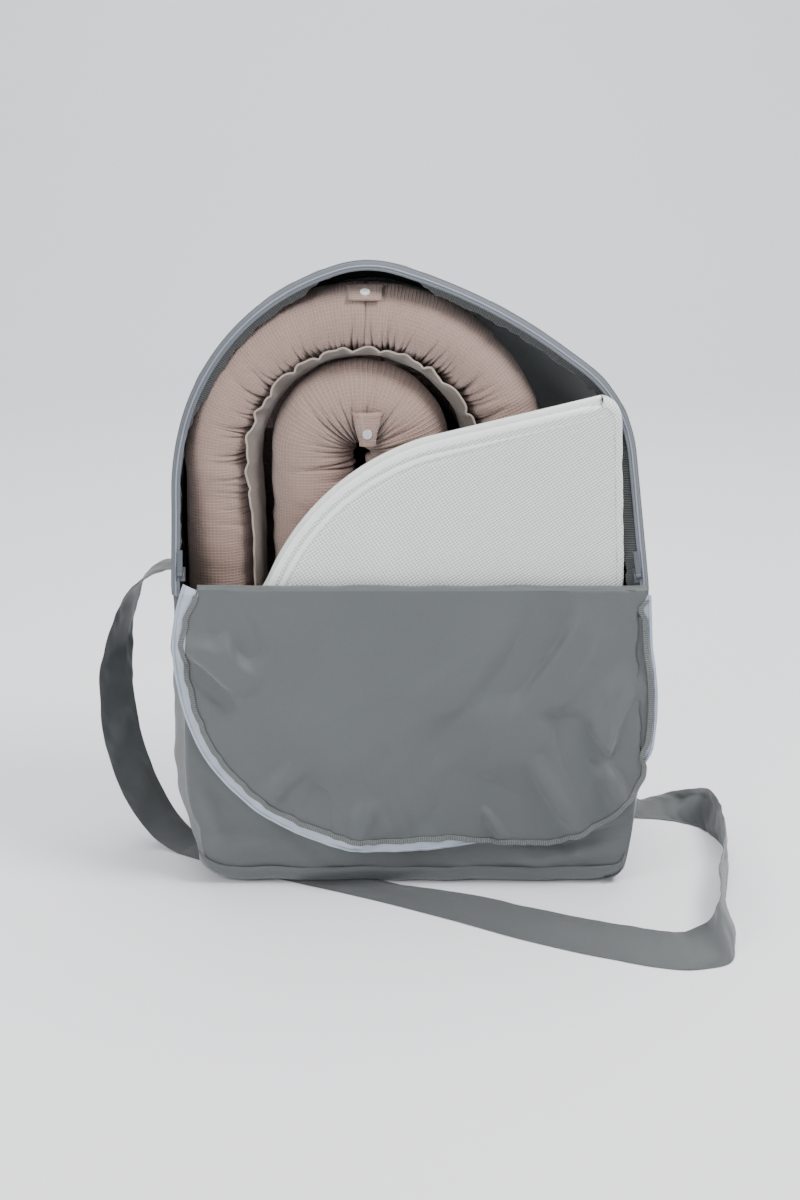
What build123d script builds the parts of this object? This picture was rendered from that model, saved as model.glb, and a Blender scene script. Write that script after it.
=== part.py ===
"""A folding baby nest packed in its own upright zip bag.

The bag stands on its flat bottom. Its front is zipped open and folded down over the lower front
panel. Inside stand the nest's padded ring, folded into two nested arches, the ring's fabric floor
and, in front, the mattress folded in half.

Frame: millimetres, +X to the right, -Y to the front, +Z up. The origin is the middle of the bag's
underside. The shoulder strap lies on the same ground and passes under the bag, which rides over it
with a shallow hump in its bottom.
"""
import os
from math import cos, radians

from build123d import *

# Bag
HALF_WIDTH = 236
HALF_DEPTH = 85
FABRIC = 1.6
CORNER_R = 35
ARCH_Z = 400
ARCH_CENTRE_X = 5
ARCH_SWEEP = 80
APEX_ROUND = 60
FOLD_Z = 320

# Opening: its edge leans back above the fold
EDGE_FRONT_Y = -HALF_DEPTH + FABRIC
EDGE_SHOULDER = (-36, 470)
EDGE_TOP = (-34, 700)

# Zip
TAPE_W = 10
TAPE_T = 1.4
TEETH_W = 3
TEETH_T = 2
SLIDER_L = 14
SLIDER_Z = 328
PULL_L = 24
PULL_W = 5.6
PULL_T = 1.4
PIN_R = 0.8
EYE_R = 2
EYE_BORE_R = 1.1

# Flap, hanging in front of the lower panel
HINGE_Y = -96
HINGE_Z = 322
FLAP_BOTTOM_Z = 44
LIP_HALF_W = 215

# Padded ring, folded into an outer and an inner arch
OUTER_C = (-44, 428)
OUTER_R = 147
INNER_C = (-50, 443)
INNER_R = 47
BEND_Z = 96
OUTER_SECTION = (33, 44)
INNER_SECTION = (43, 43)
BEND_SECTION = (38, 43)
COVER_T = 2
FLOOR_SHEET_T = 3
FLOOR_SHEET_C = (-47, 436)
FLOOR_SHEET_R = 102
FLOOR_SHEET_HALF_Y = 38
FLOOR_SHEET_FOOT_Z = 122

# Mattress, folded in half about its right edge
MATTRESS_Y = (-82.5, -53)
MATTRESS_GAP = 1
MATTRESS_BORDER_T = 3
FOLD_STRIP_W = 8

# Snap tabs
TAB_T = 2.5
HEAD_TAB = (34, 26)
FOOT_TAB = (26, 32)
SNAP_R = 5
SNAP_T = 2

# Shoulder strap
STRAP_W = 45
STRAP_T = 1.6
STRAP_ROOM_H = 2.1
STRAP_ROOM_W = 49
PATCH_T = 2

# Shoulder strap: middle of the band, and the direction of its width, from end to end
STRAP_ROUTE = [
    ((-238, 66, 300), (0, 1, 0)),
    ((-258, 66, 300), (0, 1, 0)),
    ((-284, 61, 284), (0.2, 1, 0)),
    ((-303, 54, 243), (0.45, 0.9, 0)),
    ((-313, 47, 180), (0.7, 0.7, 0)),
    ((-308, 42, 115), (0.8, 0.6, 0)),
    ((-291, 36, 60), (0.8, 0.6, 0.1)),
    ((-266, 26, 20), (0.65, 0.75, 0.12)),
    ((-238, 10, 1.6), (0.6, 0.8, 0)),
    ((-205, -12, 0.85), (0.5, 0.87, 0)),
    ((-130, -52, 0.85), (0.42, 0.9, 0)),
    ((-70, -81, 0.85), (0.42, 0.9, 0)),
    ((-20, -107, 0.85), (0.42, 0.9, 0)),
    ((50, -148, 5.5), (0.45, 0.85, 0.2)),
    ((125, -195, 8), (0.45, 0.85, 0.32)),
    ((200, -232, 9.5), (0.35, 0.9, 0.38)),
    ((262, -252, 12.5), (0.18, 0.85, 0.5)),
    ((291, -244, 19), (-0.35, 0.5, 0.8)),
    ((303, -212, 22.7), (-0.3, 0.05, 0.95)),
    ((315, -140, 23), (-0.15, 0, 1)),
    ((332, -50, 23), (-0.1, 0, 1)),
    ((334, 20, 23), (-0.05, 0, 1)),
    ((318, 72, 23), (0, 0, 1)),
    ((285, 103, 23), (0, 0, 1)),
    ((248, 114, 28), (0.35, -0.1, 0.9)),
    ((222, 110, 60), (0.8, -0.1, 0.5)),
    ((212, 103, 120), (1, 0, 0)),
    ((211, 95, 200), (1, 0, 0)),
    ((211, 88.2, 282), (1, 0, 0)),
    ((211, 88.2, 308), (1, 0, 0)),
]

ARCH_R = HALF_WIDTH + ARCH_CENTRE_X
APEX_X = ARCH_CENTRE_X + ARCH_R * cos(radians(180 - ARCH_SWEEP))


def save(part, label):
    part.label = label
    export_step(part, f"parts/{label}.step")


def front_plane(y):
    """An XZ plane at y, whose extrusions run towards the front."""
    return Plane.XZ.offset(-y)


def bag_face(inset=0.0):
    """The bag's outline from the front: a full left shoulder and a sagging right one."""
    with BuildSketch() as face:
        with BuildLine():
            left = Line((-HALF_WIDTH, CORNER_R), (-HALF_WIDTH, ARCH_Z))
            arch = CenterArc((ARCH_CENTRE_X, ARCH_Z), ARCH_R, 180, -ARCH_SWEEP)
            slope = ThreePointArc(arch @ 1, (72, 597), (162, 540))
            shoulder = ThreePointArc(slope @ 1, (203, 498), (219, 456))
            side = Line(shoulder @ 1, (HALF_WIDTH, FOLD_Z))
            lower = Line(side @ 1, (HALF_WIDTH, CORNER_R))
            right_corner = CenterArc((HALF_WIDTH - CORNER_R, CORNER_R), CORNER_R, 0, -90)
            base = Line(right_corner @ 1, (-HALF_WIDTH + CORNER_R, 0))
            CenterArc((-HALF_WIDTH + CORNER_R, CORNER_R), CORNER_R, 270, -90)
        make_face()
        fillet(face.vertices().sort_by(Axis.Y)[-1], APEX_ROUND)
        if inset:
            offset(amount=-inset, mode=Mode.REPLACE)
    return face.sketch


def edge_band(near, far):
    """The space between two copies of the leaning opening edge, near and far millimetres in front."""
    with BuildPart() as band:
        with BuildSketch(Plane.YZ):
            with BuildLine():
                Polyline(
                    (EDGE_FRONT_Y - near, FOLD_Z + 2),
                    (EDGE_SHOULDER[0] - near, EDGE_SHOULDER[1]),
                    (EDGE_TOP[0] - near, EDGE_TOP[1]),
                    (EDGE_TOP[0] - far, EDGE_TOP[1]),
                    (EDGE_SHOULDER[0] - far, EDGE_SHOULDER[1]),
                    (EDGE_FRONT_Y - far, FOLD_Z + 2),
                    close=True,
                )
            make_face()
        extrude(amount=2 * HALF_WIDTH, both=True)
    return band.part


def outline_ring(inset_out, inset_in, y_back, depth):
    """A ring that follows the bag's outline between two insets."""
    with BuildPart() as ring:
        with BuildSketch(front_plane(y_back)):
            add(bag_face(inset_out))
            add(bag_face(inset_in), mode=Mode.SUBTRACT)
        extrude(amount=depth)
    return ring.part


def strap_room(z_low, z_high):
    """The band of space under the bag that the strap crosses, a little wider than the strap."""
    under = STRAP_ROUTE[8:13]
    left, right = [], []
    for middle, across in under:
        side = Vector(across[0], across[1]).normalized() * (STRAP_ROOM_W / 2)
        left.append((middle[0] - side.X, middle[1] - side.Y))
        right.append((middle[0] + side.X, middle[1] + side.Y))
    with BuildPart() as room:
        with BuildSketch(Plane.XY.offset(z_low)):
            with BuildLine():
                Polyline(*left, *reversed(right), close=True)
            make_face()
        extrude(amount=z_high - z_low)
    return room.part


def inside_bag(part):
    """What of a part lies within the bag's outline, between its front and back panels."""
    with BuildPart() as inner:
        with BuildSketch(front_plane(HALF_DEPTH - FABRIC)):
            add(bag_face())
        extrude(amount=2 * (HALF_DEPTH - FABRIC))
        add(part, mode=Mode.INTERSECT)
    return inner.part


def make_panels():
    with BuildPart() as back_panel:
        with BuildSketch(front_plane(HALF_DEPTH)):
            add(bag_face())
        extrude(amount=FABRIC)
    save(back_panel.part, "back_panel")

    with BuildPart() as front_panel:
        with BuildSketch(front_plane(-HALF_DEPTH + FABRIC)):
            add(bag_face())
            with Locations((0, FOLD_Z + 500)):
                Rectangle(1000, 1000, mode=Mode.SUBTRACT)
        extrude(amount=FABRIC)
        with BuildSketch(Plane.XY.offset(FOLD_Z - 3)):
            with Locations((0, (HINGE_Y - HALF_DEPTH) / 2)):
                Rectangle(2 * LIP_HALF_W, -HINGE_Y - HALF_DEPTH)
        extrude(amount=FABRIC)
        add(strap_room(-10, STRAP_ROOM_H), mode=Mode.SUBTRACT)
    save(front_panel.part, "front_panel")


def make_gussets():
    wall = outline_ring(0, FABRIC, HALF_DEPTH - FABRIC, 2 * (HALF_DEPTH - FABRIC))
    opening = edge_band(0, 2 * HALF_DEPTH)
    for label, x_low, x_high, z_low, z_high in (
        ("gusset_left", -500, APEX_X, CORNER_R, 900),
        ("gusset_right", APEX_X, 500, CORNER_R, 900),
        ("bottom_panel", -500, 500, -10, CORNER_R),
    ):
        with BuildPart() as strip:
            add(wall)
            add(opening, mode=Mode.SUBTRACT)
            with Locations(((x_low + x_high) / 2, 0, (z_low + z_high) / 2)):
                Box(x_high - x_low, 400, z_high - z_low, mode=Mode.INTERSECT)
            if label == "bottom_panel":
                add(strap_room(-10, STRAP_ROOM_H), mode=Mode.SUBTRACT)
                add(inside_bag(strap_room(STRAP_ROOM_H, STRAP_ROOM_H + FABRIC)))
        save(strip.part, label)


def make_body_zip():
    with BuildPart() as zip_tape_body:
        add(outline_ring(0, TAPE_W, HALF_DEPTH, 2 * HALF_DEPTH + 50))
        add(edge_band(0, TAPE_T), mode=Mode.INTERSECT)
    save(zip_tape_body.part, "zip_tape_body")

    with BuildPart() as zip_teeth_body:
        add(outline_ring(TAPE_W - TEETH_W, TAPE_W, HALF_DEPTH, 2 * HALF_DEPTH + 50))
        add(edge_band(TAPE_T, TAPE_T + TEETH_T), mode=Mode.INTERSECT)
    save(zip_teeth_body.part, "zip_teeth_body")


def flap_face(inset=0.0):
    """The hanging flap's outline: a wide round left corner and a tighter right one."""
    with BuildSketch() as face:
        with BuildLine():
            left = Line((-HALF_WIDTH, HINGE_Z - 2), (-HALF_WIDTH, 228))
            corner = ThreePointArc(left @ 1, (-197, 128), (-84, 50))
            hem = ThreePointArc(corner @ 1, (20, FLAP_BOTTOM_Z), (150, 56))
            round_corner = ThreePointArc(hem @ 1, (222, 92), (244, 165))
            right = Line(round_corner @ 1, (238, HINGE_Z - 2))
            Line(right @ 1, left @ 0)
        make_face()
        if inset:
            offset(amount=-inset, mode=Mode.REPLACE)
            with Locations((0, HINGE_Z - 2 - inset / 2)):
                Rectangle(2 * (HALF_WIDTH - inset), inset + 0.02)
    return face.sketch


def flap_layer(label, inset_out, inset_in, back, thickness):
    """One layer of the flap: a ring when inset_in is given, else a full panel."""
    with BuildPart() as layer:
        with BuildSketch(front_plane(back)):
            add(flap_face(inset_out))
            if inset_in:
                add(flap_face(inset_in), mode=Mode.SUBTRACT)
        extrude(amount=thickness)
    save(layer.part, label)


def make_flap():
    face_y = HINGE_Y - FABRIC
    flap_layer("flap_panel", TAPE_W, None, HINGE_Y, FABRIC)
    flap_layer("zip_tape_flap", 0, TAPE_W, HINGE_Y, TAPE_T)
    flap_layer("zip_teeth_flap", 0, TEETH_W, HINGE_Y - TAPE_T, TEETH_T)
    flap_layer("flap_seam_binding", TAPE_W, TAPE_W + 4, face_y, TAPE_T)


def slider_frame(side):
    """A plane square to the zip at the slider's foot: x towards the middle, y to the back."""
    rise = EDGE_SHOULDER[1] - FOLD_Z - 2
    lean = EDGE_SHOULDER[0] - EDGE_FRONT_Y
    start = SLIDER_Z - FOLD_Z - 2
    foot_y = EDGE_FRONT_Y + lean * start / rise
    if side < 0:
        inward = 0.0
        foot_x = -HALF_WIDTH
    else:
        inward = -17 / 136
        foot_x = HALF_WIDTH + inward * (SLIDER_Z - FOLD_Z)
    travel = Vector(inward * rise, lean, rise)
    return Plane(origin=(foot_x, foot_y, SLIDER_Z), x_dir=(1, 0, 0), z_dir=travel)


def make_slider(side, label, pull_label):
    """A slider wrapped round the free row of teeth, and its pull on a pin between two ears."""
    frame = slider_frame(side)
    inward = -side
    with BuildPart() as slider:
        with BuildSketch(frame):
            with Locations((inward * 9, -2)):
                Rectangle(9, 8.4)
            with Locations((inward * 5.5, -1.6)):
                Rectangle(10.6, 4.4, mode=Mode.SUBTRACT)
        extrude(amount=SLIDER_L)
        for ear_x in (-PULL_W / 2 - 0.9, PULL_W / 2 + 0.9):
            with BuildSketch(frame.offset(4)):
                with Locations((inward * 9 + ear_x, -8.3)):
                    Rectangle(1.2, 4.4)
            extrude(amount=5)
        pin_plane = Plane(
            origin=frame.from_local_coords((inward * 9 - PULL_W / 2 - 1.2, -8.4, 6.5)),
            z_dir=frame.x_dir,
        )
        with BuildSketch(pin_plane):
            Circle(PIN_R)
        extrude(amount=PULL_W + 2.4)
    save(slider.part, label)

    with BuildPart() as pull:
        eye_plane = Plane(
            origin=frame.from_local_coords((inward * 9 - PULL_W / 2 + 0.3, -8.4, 6.5)),
            x_dir=frame.z_dir,
            z_dir=frame.x_dir,
        )
        with BuildSketch(eye_plane):
            with Locations((PULL_L / 2, 0)):
                Rectangle(PULL_L, PULL_T)
            Circle(EYE_R)
            Circle(EYE_BORE_R, mode=Mode.SUBTRACT)
        extrude(amount=PULL_W - 0.6)
    save(pull.part, pull_label)


def bend(centre, radius, section, start, sweep, inset):
    """A turn of the tube in the XZ plane about centre, from angle start, anticlockwise from the front."""
    outwards = Vector(1, 0, 0).rotate(Axis((0, 0, 0), (0, -1, 0)), start)
    hub = Vector(centre[0], 0, centre[1])
    with BuildPart() as turn:
        profile = Plane(
            origin=hub + outwards * radius, x_dir=outwards, z_dir=Vector(0, -1, 0).cross(outwards)
        )
        with BuildSketch(profile):
            Ellipse(section[0] - inset, section[1] - inset)
        revolve(axis=Axis(hub, (0, -1, 0)), revolution_arc=sweep)
    return turn.part


def leg(x, z_top, top_section, inset):
    """A straight leg of the tube, from a bottom bend up to an arch."""
    with BuildPart() as straight:
        with BuildSketch(Plane.XY.offset(BEND_Z)):
            with Locations((x, 0)):
                Ellipse(BEND_SECTION[0] - inset, BEND_SECTION[1] - inset)
        with BuildSketch(Plane.XY.offset(z_top)):
            with Locations((x, 0)):
                Ellipse(top_section[0] - inset, top_section[1] - inset)
        loft()
    return straight.part


def half_ring(side, inset):
    """Half of the folded ring, from its head seam to its foot seam."""
    outer_x = OUTER_C[0] + side * OUTER_R
    inner_x = INNER_C[0] + side * INNER_R
    foot_c = ((outer_x + inner_x) / 2, BEND_Z)
    foot_r = abs(outer_x - inner_x) / 2
    start = 90 if side < 0 else 0
    with BuildPart() as half:
        add(bend(OUTER_C, OUTER_R, OUTER_SECTION, start, 90, inset))
        add(leg(outer_x, OUTER_C[1], OUTER_SECTION, inset))
        add(bend(foot_c, foot_r, BEND_SECTION, 180, 180, inset))
        add(leg(inner_x, INNER_C[1], INNER_SECTION, inset))
        add(bend(INNER_C, INNER_R, INNER_SECTION, start, 90, inset))
    return half.part


def make_ring():
    for side, label in ((-1, "bumper_cover_left"), (1, "bumper_cover_right")):
        with BuildPart() as cover:
            add(half_ring(side, 0))
            add(half_ring(side, COVER_T), mode=Mode.SUBTRACT)
        save(cover.part, label)

    with BuildPart() as bumper_filling:
        add(half_ring(-1, COVER_T))
        add(half_ring(1, COVER_T))
    save(bumper_filling.part, "bumper_filling")


def make_floor_sheet():
    """The ring's fabric floor, folded up as a band between the two arches."""
    half_t = FLOOR_SHEET_T / 2
    with BuildPart() as floor_sheet:
        with BuildSketch(front_plane(FLOOR_SHEET_HALF_Y)):
            with BuildLine():
                left = Line(
                    (FLOOR_SHEET_C[0] - FLOOR_SHEET_R, FLOOR_SHEET_FOOT_Z),
                    (FLOOR_SHEET_C[0] - FLOOR_SHEET_R, FLOOR_SHEET_C[1]),
                )
                arch = CenterArc(FLOOR_SHEET_C, FLOOR_SHEET_R, 180, -180)
                right = Line(arch @ 1, (FLOOR_SHEET_C[0] + FLOOR_SHEET_R, FLOOR_SHEET_FOOT_Z))
                offset(amount=half_t, side=Side.BOTH)
            make_face()
        extrude(amount=2 * FLOOR_SHEET_HALF_Y)
    save(floor_sheet.part, "floor_sheet")


def mattress_face(inset=0.0):
    """Half of an oval mattress: a straight fold on the right, a round end on the left."""
    with BuildSketch() as face:
        with BuildLine():
            top = Line((186, 508), (14, 466))
            upper = ThreePointArc(top @ 1, (-84, 409), (-142, 322))
            tip = ThreePointArc(upper @ 1, (-164, 250), (-142, 178))
            lower = ThreePointArc(tip @ 1, (-84, 91), (14, 34))
            bottom = Line(lower @ 1, (186, 6))
            heel = ThreePointArc(bottom @ 1, (204, 12), (210, 30))
            spine = Line(heel @ 1, (210, 340))
            upper_spine = Line(spine @ 1, (202, 488))
            ThreePointArc(upper_spine @ 1, (198, 502), top @ 0)
        make_face()
        if inset:
            offset(amount=-inset, mode=Mode.REPLACE)
    return face.sketch


def fold_face():
    """The strip along the right edge, where the mattress cover folds over."""
    with BuildSketch() as face:
        add(mattress_face())
        with Locations((-FOLD_STRIP_W, 0)):
            add(mattress_face(), mode=Mode.SUBTRACT)
    return face.sketch


def make_mattress():
    front, back = MATTRESS_Y
    layer_t = (back - front - MATTRESS_GAP) / 2
    for label, border_label, layer_back in (
        ("mattress_front_layer", "mattress_front_border", front + layer_t),
        ("mattress_back_layer", "mattress_back_border", back),
    ):
        with BuildPart() as layer:
            with BuildSketch(front_plane(layer_back)):
                add(mattress_face(MATTRESS_BORDER_T))
                add(fold_face(), mode=Mode.SUBTRACT)
            extrude(amount=layer_t)
        save(layer.part, label)

        with BuildPart() as border:
            with BuildSketch(front_plane(layer_back)):
                add(mattress_face())
                add(mattress_face(MATTRESS_BORDER_T), mode=Mode.SUBTRACT)
                add(fold_face(), mode=Mode.SUBTRACT)
            extrude(amount=layer_t)
        save(border.part, border_label)

    with BuildPart() as mattress_fold:
        with BuildSketch(front_plane(back)):
            add(fold_face())
        extrude(amount=back - front)
    save(mattress_fold.part, "mattress_fold")


def tab_with_snap(label, snap_label, plane, size):
    """A fabric tab hanging from plane's origin along its y axis, and the snap near its end."""
    width, length = size
    with BuildPart() as tab:
        with BuildSketch(plane):
            with Locations((0, length / 2)):
                RectangleRounded(width, length, 3)
        extrude(amount=TAB_T)
    save(tab.part, label)

    with BuildPart() as snap:
        with BuildSketch(plane.offset(TAB_T)):
            with Locations((0, length * 0.6)):
                Circle(SNAP_R)
        extrude(amount=SNAP_T)
        fillet(snap.faces().sort_by(Axis(plane.origin, plane.z_dir))[-1].edges(), 0.8)
    save(snap.part, snap_label)


def make_tabs():
    head_plane = Plane(origin=(OUTER_C[0], -17, 610), x_dir=(-1, 0, 0), z_dir=(0, -0.37, 0.93))
    tab_with_snap("head_tab", "head_snap", head_plane, HEAD_TAB)
    foot_plane = Plane(origin=(INNER_C[0] + 8, -44.5, 488), x_dir=(-1, 0, 0), z_dir=(0, -1, 0))
    tab_with_snap("foot_tab", "foot_snap", foot_plane, FOOT_TAB)


def make_strap():
    points = [Vector(*middle) for middle, _ in STRAP_ROUTE]
    with BuildPart() as shoulder_strap:
        for i, (middle, across) in enumerate(STRAP_ROUTE):
            before = points[max(i - 1, 0)]
            after = points[min(i + 1, len(points) - 1)]
            along = (after - before).normalized()
            width = Vector(*across)
            width = (width - along * width.dot(along)).normalized()
            with BuildSketch(Plane(origin=middle, x_dir=width, z_dir=along)):
                Rectangle(STRAP_W, STRAP_T)
        loft(ruled=True)
    save(shoulder_strap.part, "shoulder_strap")

    with BuildPart() as anchor_left:
        with BuildSketch(Plane.YZ.offset(-HALF_WIDTH - PATCH_T)):
            with Locations((58, 300)):
                Rectangle(46, 34)
        extrude(amount=PATCH_T)
    save(anchor_left.part, "strap_anchor_left")

    with BuildPart() as anchor_right:
        with BuildSketch(front_plane(HALF_DEPTH + PATCH_T)):
            with Locations((206, 296)):
                Rectangle(50, 34)
        extrude(amount=PATCH_T)
    save(anchor_right.part, "strap_anchor_right")


def main():
    os.makedirs("parts", exist_ok=True)
    make_panels()
    make_gussets()
    make_body_zip()
    make_flap()
    make_slider(-1, "slider_left", "pull_left")
    make_slider(1, "slider_right", "pull_right")
    make_ring()
    make_floor_sheet()
    make_mattress()
    make_tabs()
    make_strap()


main()
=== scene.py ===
"""A padded baby nest folded up in its open zip bag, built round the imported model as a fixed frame.

Lengths in the shape functions are millimetres, in the frame's own axes: X to the right, -Y out of
the bag's open front, Z up from the bag's underside. MM turns them into Blender's metres.
"""
import math

import bmesh
import bpy
import numpy as np
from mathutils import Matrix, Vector


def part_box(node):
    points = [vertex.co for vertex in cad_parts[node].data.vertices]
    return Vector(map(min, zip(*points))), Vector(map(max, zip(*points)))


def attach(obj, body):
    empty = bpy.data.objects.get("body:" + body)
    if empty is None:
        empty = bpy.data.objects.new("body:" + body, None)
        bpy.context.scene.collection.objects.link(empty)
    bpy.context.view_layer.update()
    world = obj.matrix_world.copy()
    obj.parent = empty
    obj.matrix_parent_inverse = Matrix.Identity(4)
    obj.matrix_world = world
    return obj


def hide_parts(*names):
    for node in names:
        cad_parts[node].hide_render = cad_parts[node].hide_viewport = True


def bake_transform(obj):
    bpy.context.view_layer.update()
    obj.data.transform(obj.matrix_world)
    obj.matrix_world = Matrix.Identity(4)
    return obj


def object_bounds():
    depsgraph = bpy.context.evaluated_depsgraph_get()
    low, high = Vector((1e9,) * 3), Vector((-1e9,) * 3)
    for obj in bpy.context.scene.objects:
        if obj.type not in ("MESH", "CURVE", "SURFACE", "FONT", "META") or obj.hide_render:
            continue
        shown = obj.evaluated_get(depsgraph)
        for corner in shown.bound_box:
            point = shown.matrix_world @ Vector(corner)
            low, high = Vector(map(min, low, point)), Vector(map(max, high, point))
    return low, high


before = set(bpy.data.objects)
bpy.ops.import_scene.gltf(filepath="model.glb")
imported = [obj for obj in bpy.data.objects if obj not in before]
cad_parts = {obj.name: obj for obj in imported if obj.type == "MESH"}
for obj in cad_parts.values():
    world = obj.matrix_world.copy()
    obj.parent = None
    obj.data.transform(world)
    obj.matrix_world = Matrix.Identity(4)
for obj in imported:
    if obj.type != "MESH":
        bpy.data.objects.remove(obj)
CAD_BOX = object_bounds()

bl_info = {
    "name": "Packed baby nest",
    "version": (1, 0, 0),
    "blender": (4, 5, 0),
    "location": "View3D > Sidebar > Nest",
    "description": "Builds a padded baby nest folded up in its open zip bag",
    "category": "Object",
}

MM = 0.001
FLOOR_Z = CAD_BOX[0][2]
BAG_HALF_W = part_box("back_panel")[1][0] / MM
BAG_BACK_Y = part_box("back_panel")[1][1] / MM
FOLD_Z = 322.0
FLAP_Y = -96.0
FLAP_CLOTH_Y = -97.0


# ---------------------------------------------------------------- flat outlines


class Path:
    """A line of straight and round stretches in X and Z, read by the distance along it."""

    STEP = 2.0

    def __init__(self, start):
        self.points = [np.array(start, float)]

    def line(self, end):
        start = self.points[-1]
        end = np.array(end, float)
        count = max(2, int(np.linalg.norm(end - start) / self.STEP))
        for i in range(1, count + 1):
            self.points.append(start + (end - start) * i / count)
        return self

    def arc(self, middle, end):
        """A round stretch from the last point through middle to end."""
        a = complex(*self.points[-1])
        b = complex(*middle)
        c = complex(*end)
        w = (c - a) / (b - a)
        centre = (b - a) * (w - abs(w) ** 2) / (2j * w.imag) + a
        turn = np.angle((b - centre) / (a - centre)) + np.angle((c - centre) / (b - centre))
        count = max(4, int(abs(turn) * abs(a - centre) / self.STEP))
        for i in range(1, count + 1):
            p = centre + (a - centre) * np.exp(1j * turn * i / count)
            self.points.append(np.array([p.real, p.imag]))
        return self

    def done(self, smooth=0):
        points = np.array(self.points)
        for _ in range(smooth):
            points[1:-1] = (points[:-2] + 2 * points[1:-1] + points[2:]) / 4
        steps = np.linalg.norm(np.diff(points, axis=0), axis=1)
        self.s = np.concatenate([[0], np.cumsum(steps)])
        self.length = self.s[-1]
        self.points = points
        tangents = np.gradient(points, axis=0)
        self.tangents = tangents / np.linalg.norm(tangents, axis=1)[:, None]
        return self

    def at(self, s):
        x = np.interp(s, self.s, self.points[:, 0])
        z = np.interp(s, self.s, self.points[:, 1])
        return x, z

    def right(self, s):
        """The direction to the right of the way along the line."""
        tx = np.interp(s, self.s, self.tangents[:, 0])
        tz = np.interp(s, self.s, self.tangents[:, 1])
        size = np.hypot(tx, tz)
        return tz / size, -tx / size


def smooth(a, b, x):
    """0 below a, 1 above b and a smooth step between."""
    t = np.clip((x - a) / (b - a), 0, 1)
    return t * t * (3 - 2 * t)


def bump(x, centre, width):
    return np.exp(-(((x - centre) / width) ** 2))


def wander(x, seed, period, count=4):
    """A smooth wandering value between about -1 and 1 along x."""
    rng = np.random.default_rng(seed)
    total = 0
    for k in range(count):
        pace = (0.6 + 0.9 * rng.random()) * (1 + 0.7 * k) / period
        total = total + np.sin(2 * math.pi * (x * pace + rng.random())) / (1 + 0.6 * k)
    return total / 2


def crease(x, z, start, end, width, height):
    """A soft ridge (or valley) in a sheet from start to end that fades at both ends."""
    ax, az = start
    dx, dz = end[0] - ax, end[1] - az
    length = math.hypot(dx, dz)
    along = ((x - ax) * dx + (z - az) * dz) / length**2
    across = ((x - ax) * dz - (z - az) * dx) / length
    ends = smooth(-0.15, 0.3, along) * (1 - smooth(0.6, 1.15, along))
    return height * ends * np.exp(-((across / width) ** 2))


# ---------------------------------------------------------------- mesh helpers


def new_object(name, bm, material, shade=True):
    """A new piece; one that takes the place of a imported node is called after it."""
    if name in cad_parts:
        name += "_soft"
    mesh = bpy.data.meshes.new(name)
    bm.to_mesh(mesh)
    bm.free()
    piece = bpy.data.objects.new(name, mesh)
    bpy.context.scene.collection.objects.link(piece)
    mesh.materials.append(material)
    if shade:
        mesh.polygons.foreach_set("use_smooth", [True] * len(mesh.polygons))
    return piece


def sheet_mesh(nu, nv, shape, close_v=False, close_u=False, caps=False, size=(1, 1), spread=None):
    """A grid carried onto a surface: shape turns u and v from 0 to 1 into millimetres.

    size is the flat cloth's size in millimetres, for the weave, and spread crowds the grid's lines
    where the surface needs them.
    """
    bm = bmesh.new()
    bmesh.ops.create_grid(bm, x_segments=nu, y_segments=nv, size=0.5, calc_uvs=True)
    layer = bm.loops.layers.uv.verify()
    bm.verts.index_update()
    flat = np.array([v.co for v in bm.verts])
    u = np.clip(flat[:, 0] + 0.5, 0, 1)
    v = np.clip(flat[:, 1] + 0.5, 0, 1)
    if spread is not None:
        u = spread(u)
    cloth = np.stack([u * size[0], v * size[1]], axis=1) * MM
    for face in bm.faces:
        for loop in face.loops:
            loop[layer].uv = cloth[loop.vert.index]
    x, y, z = shape(u, v)
    for vert, co in zip(bm.verts, np.stack([x, y, z], axis=1) * MM):
        vert.co = co
    if close_v or close_u:
        edge = [vert for vert in bm.verts if vert.is_boundary]
        bmesh.ops.remove_doubles(bm, verts=edge, dist=1e-6)
    if caps:
        bmesh.ops.holes_fill(bm, edges=[edge for edge in bm.edges if edge.is_boundary], sides=0)
    return bm


def thicken(piece, mm, offset=0.0):
    mod = piece.modifiers.new("cloth", "SOLIDIFY")
    mod.thickness = mm * MM
    mod.offset = offset
    mod.use_even_offset = False


def band_mesh(nu, nv, points, across, half_w, half_t, size, ripple=None):
    """A flat band: points and across give its middle and its width's direction for u from 0 to 1.

    ripple moves its cloth out of its plane, by the share of its length and its place across.
    """

    def shape(u, v):
        p = points(u)
        w = across(u)
        ahead = points(np.clip(u + 1e-3, 0, 1)) - points(np.clip(u - 1e-3, 0, 1))
        ahead /= np.linalg.norm(ahead, axis=0)
        out = np.cross(ahead, w, axis=0)
        angle = 2 * math.pi * v
        wide = np.sign(np.cos(angle)) * np.abs(np.cos(angle)) ** 0.35
        deep = np.sign(np.sin(angle)) * np.abs(np.sin(angle)) ** 0.7
        rise = ripple(u, wide) if ripple else 0
        reach = half_w(u) if callable(half_w) else half_w
        depth = half_t(u) if callable(half_t) else half_t
        p = p + w * wide * reach + out * (deep * depth + rise)
        ground = FLOOR_Z / MM + 0.1 + 0.6 * (1 + deep * np.sign(out[2]))
        return p[0], p[1], np.maximum(p[2], ground)

    return sheet_mesh(nu, nv, shape, close_v=True, caps=True, size=size)


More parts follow.
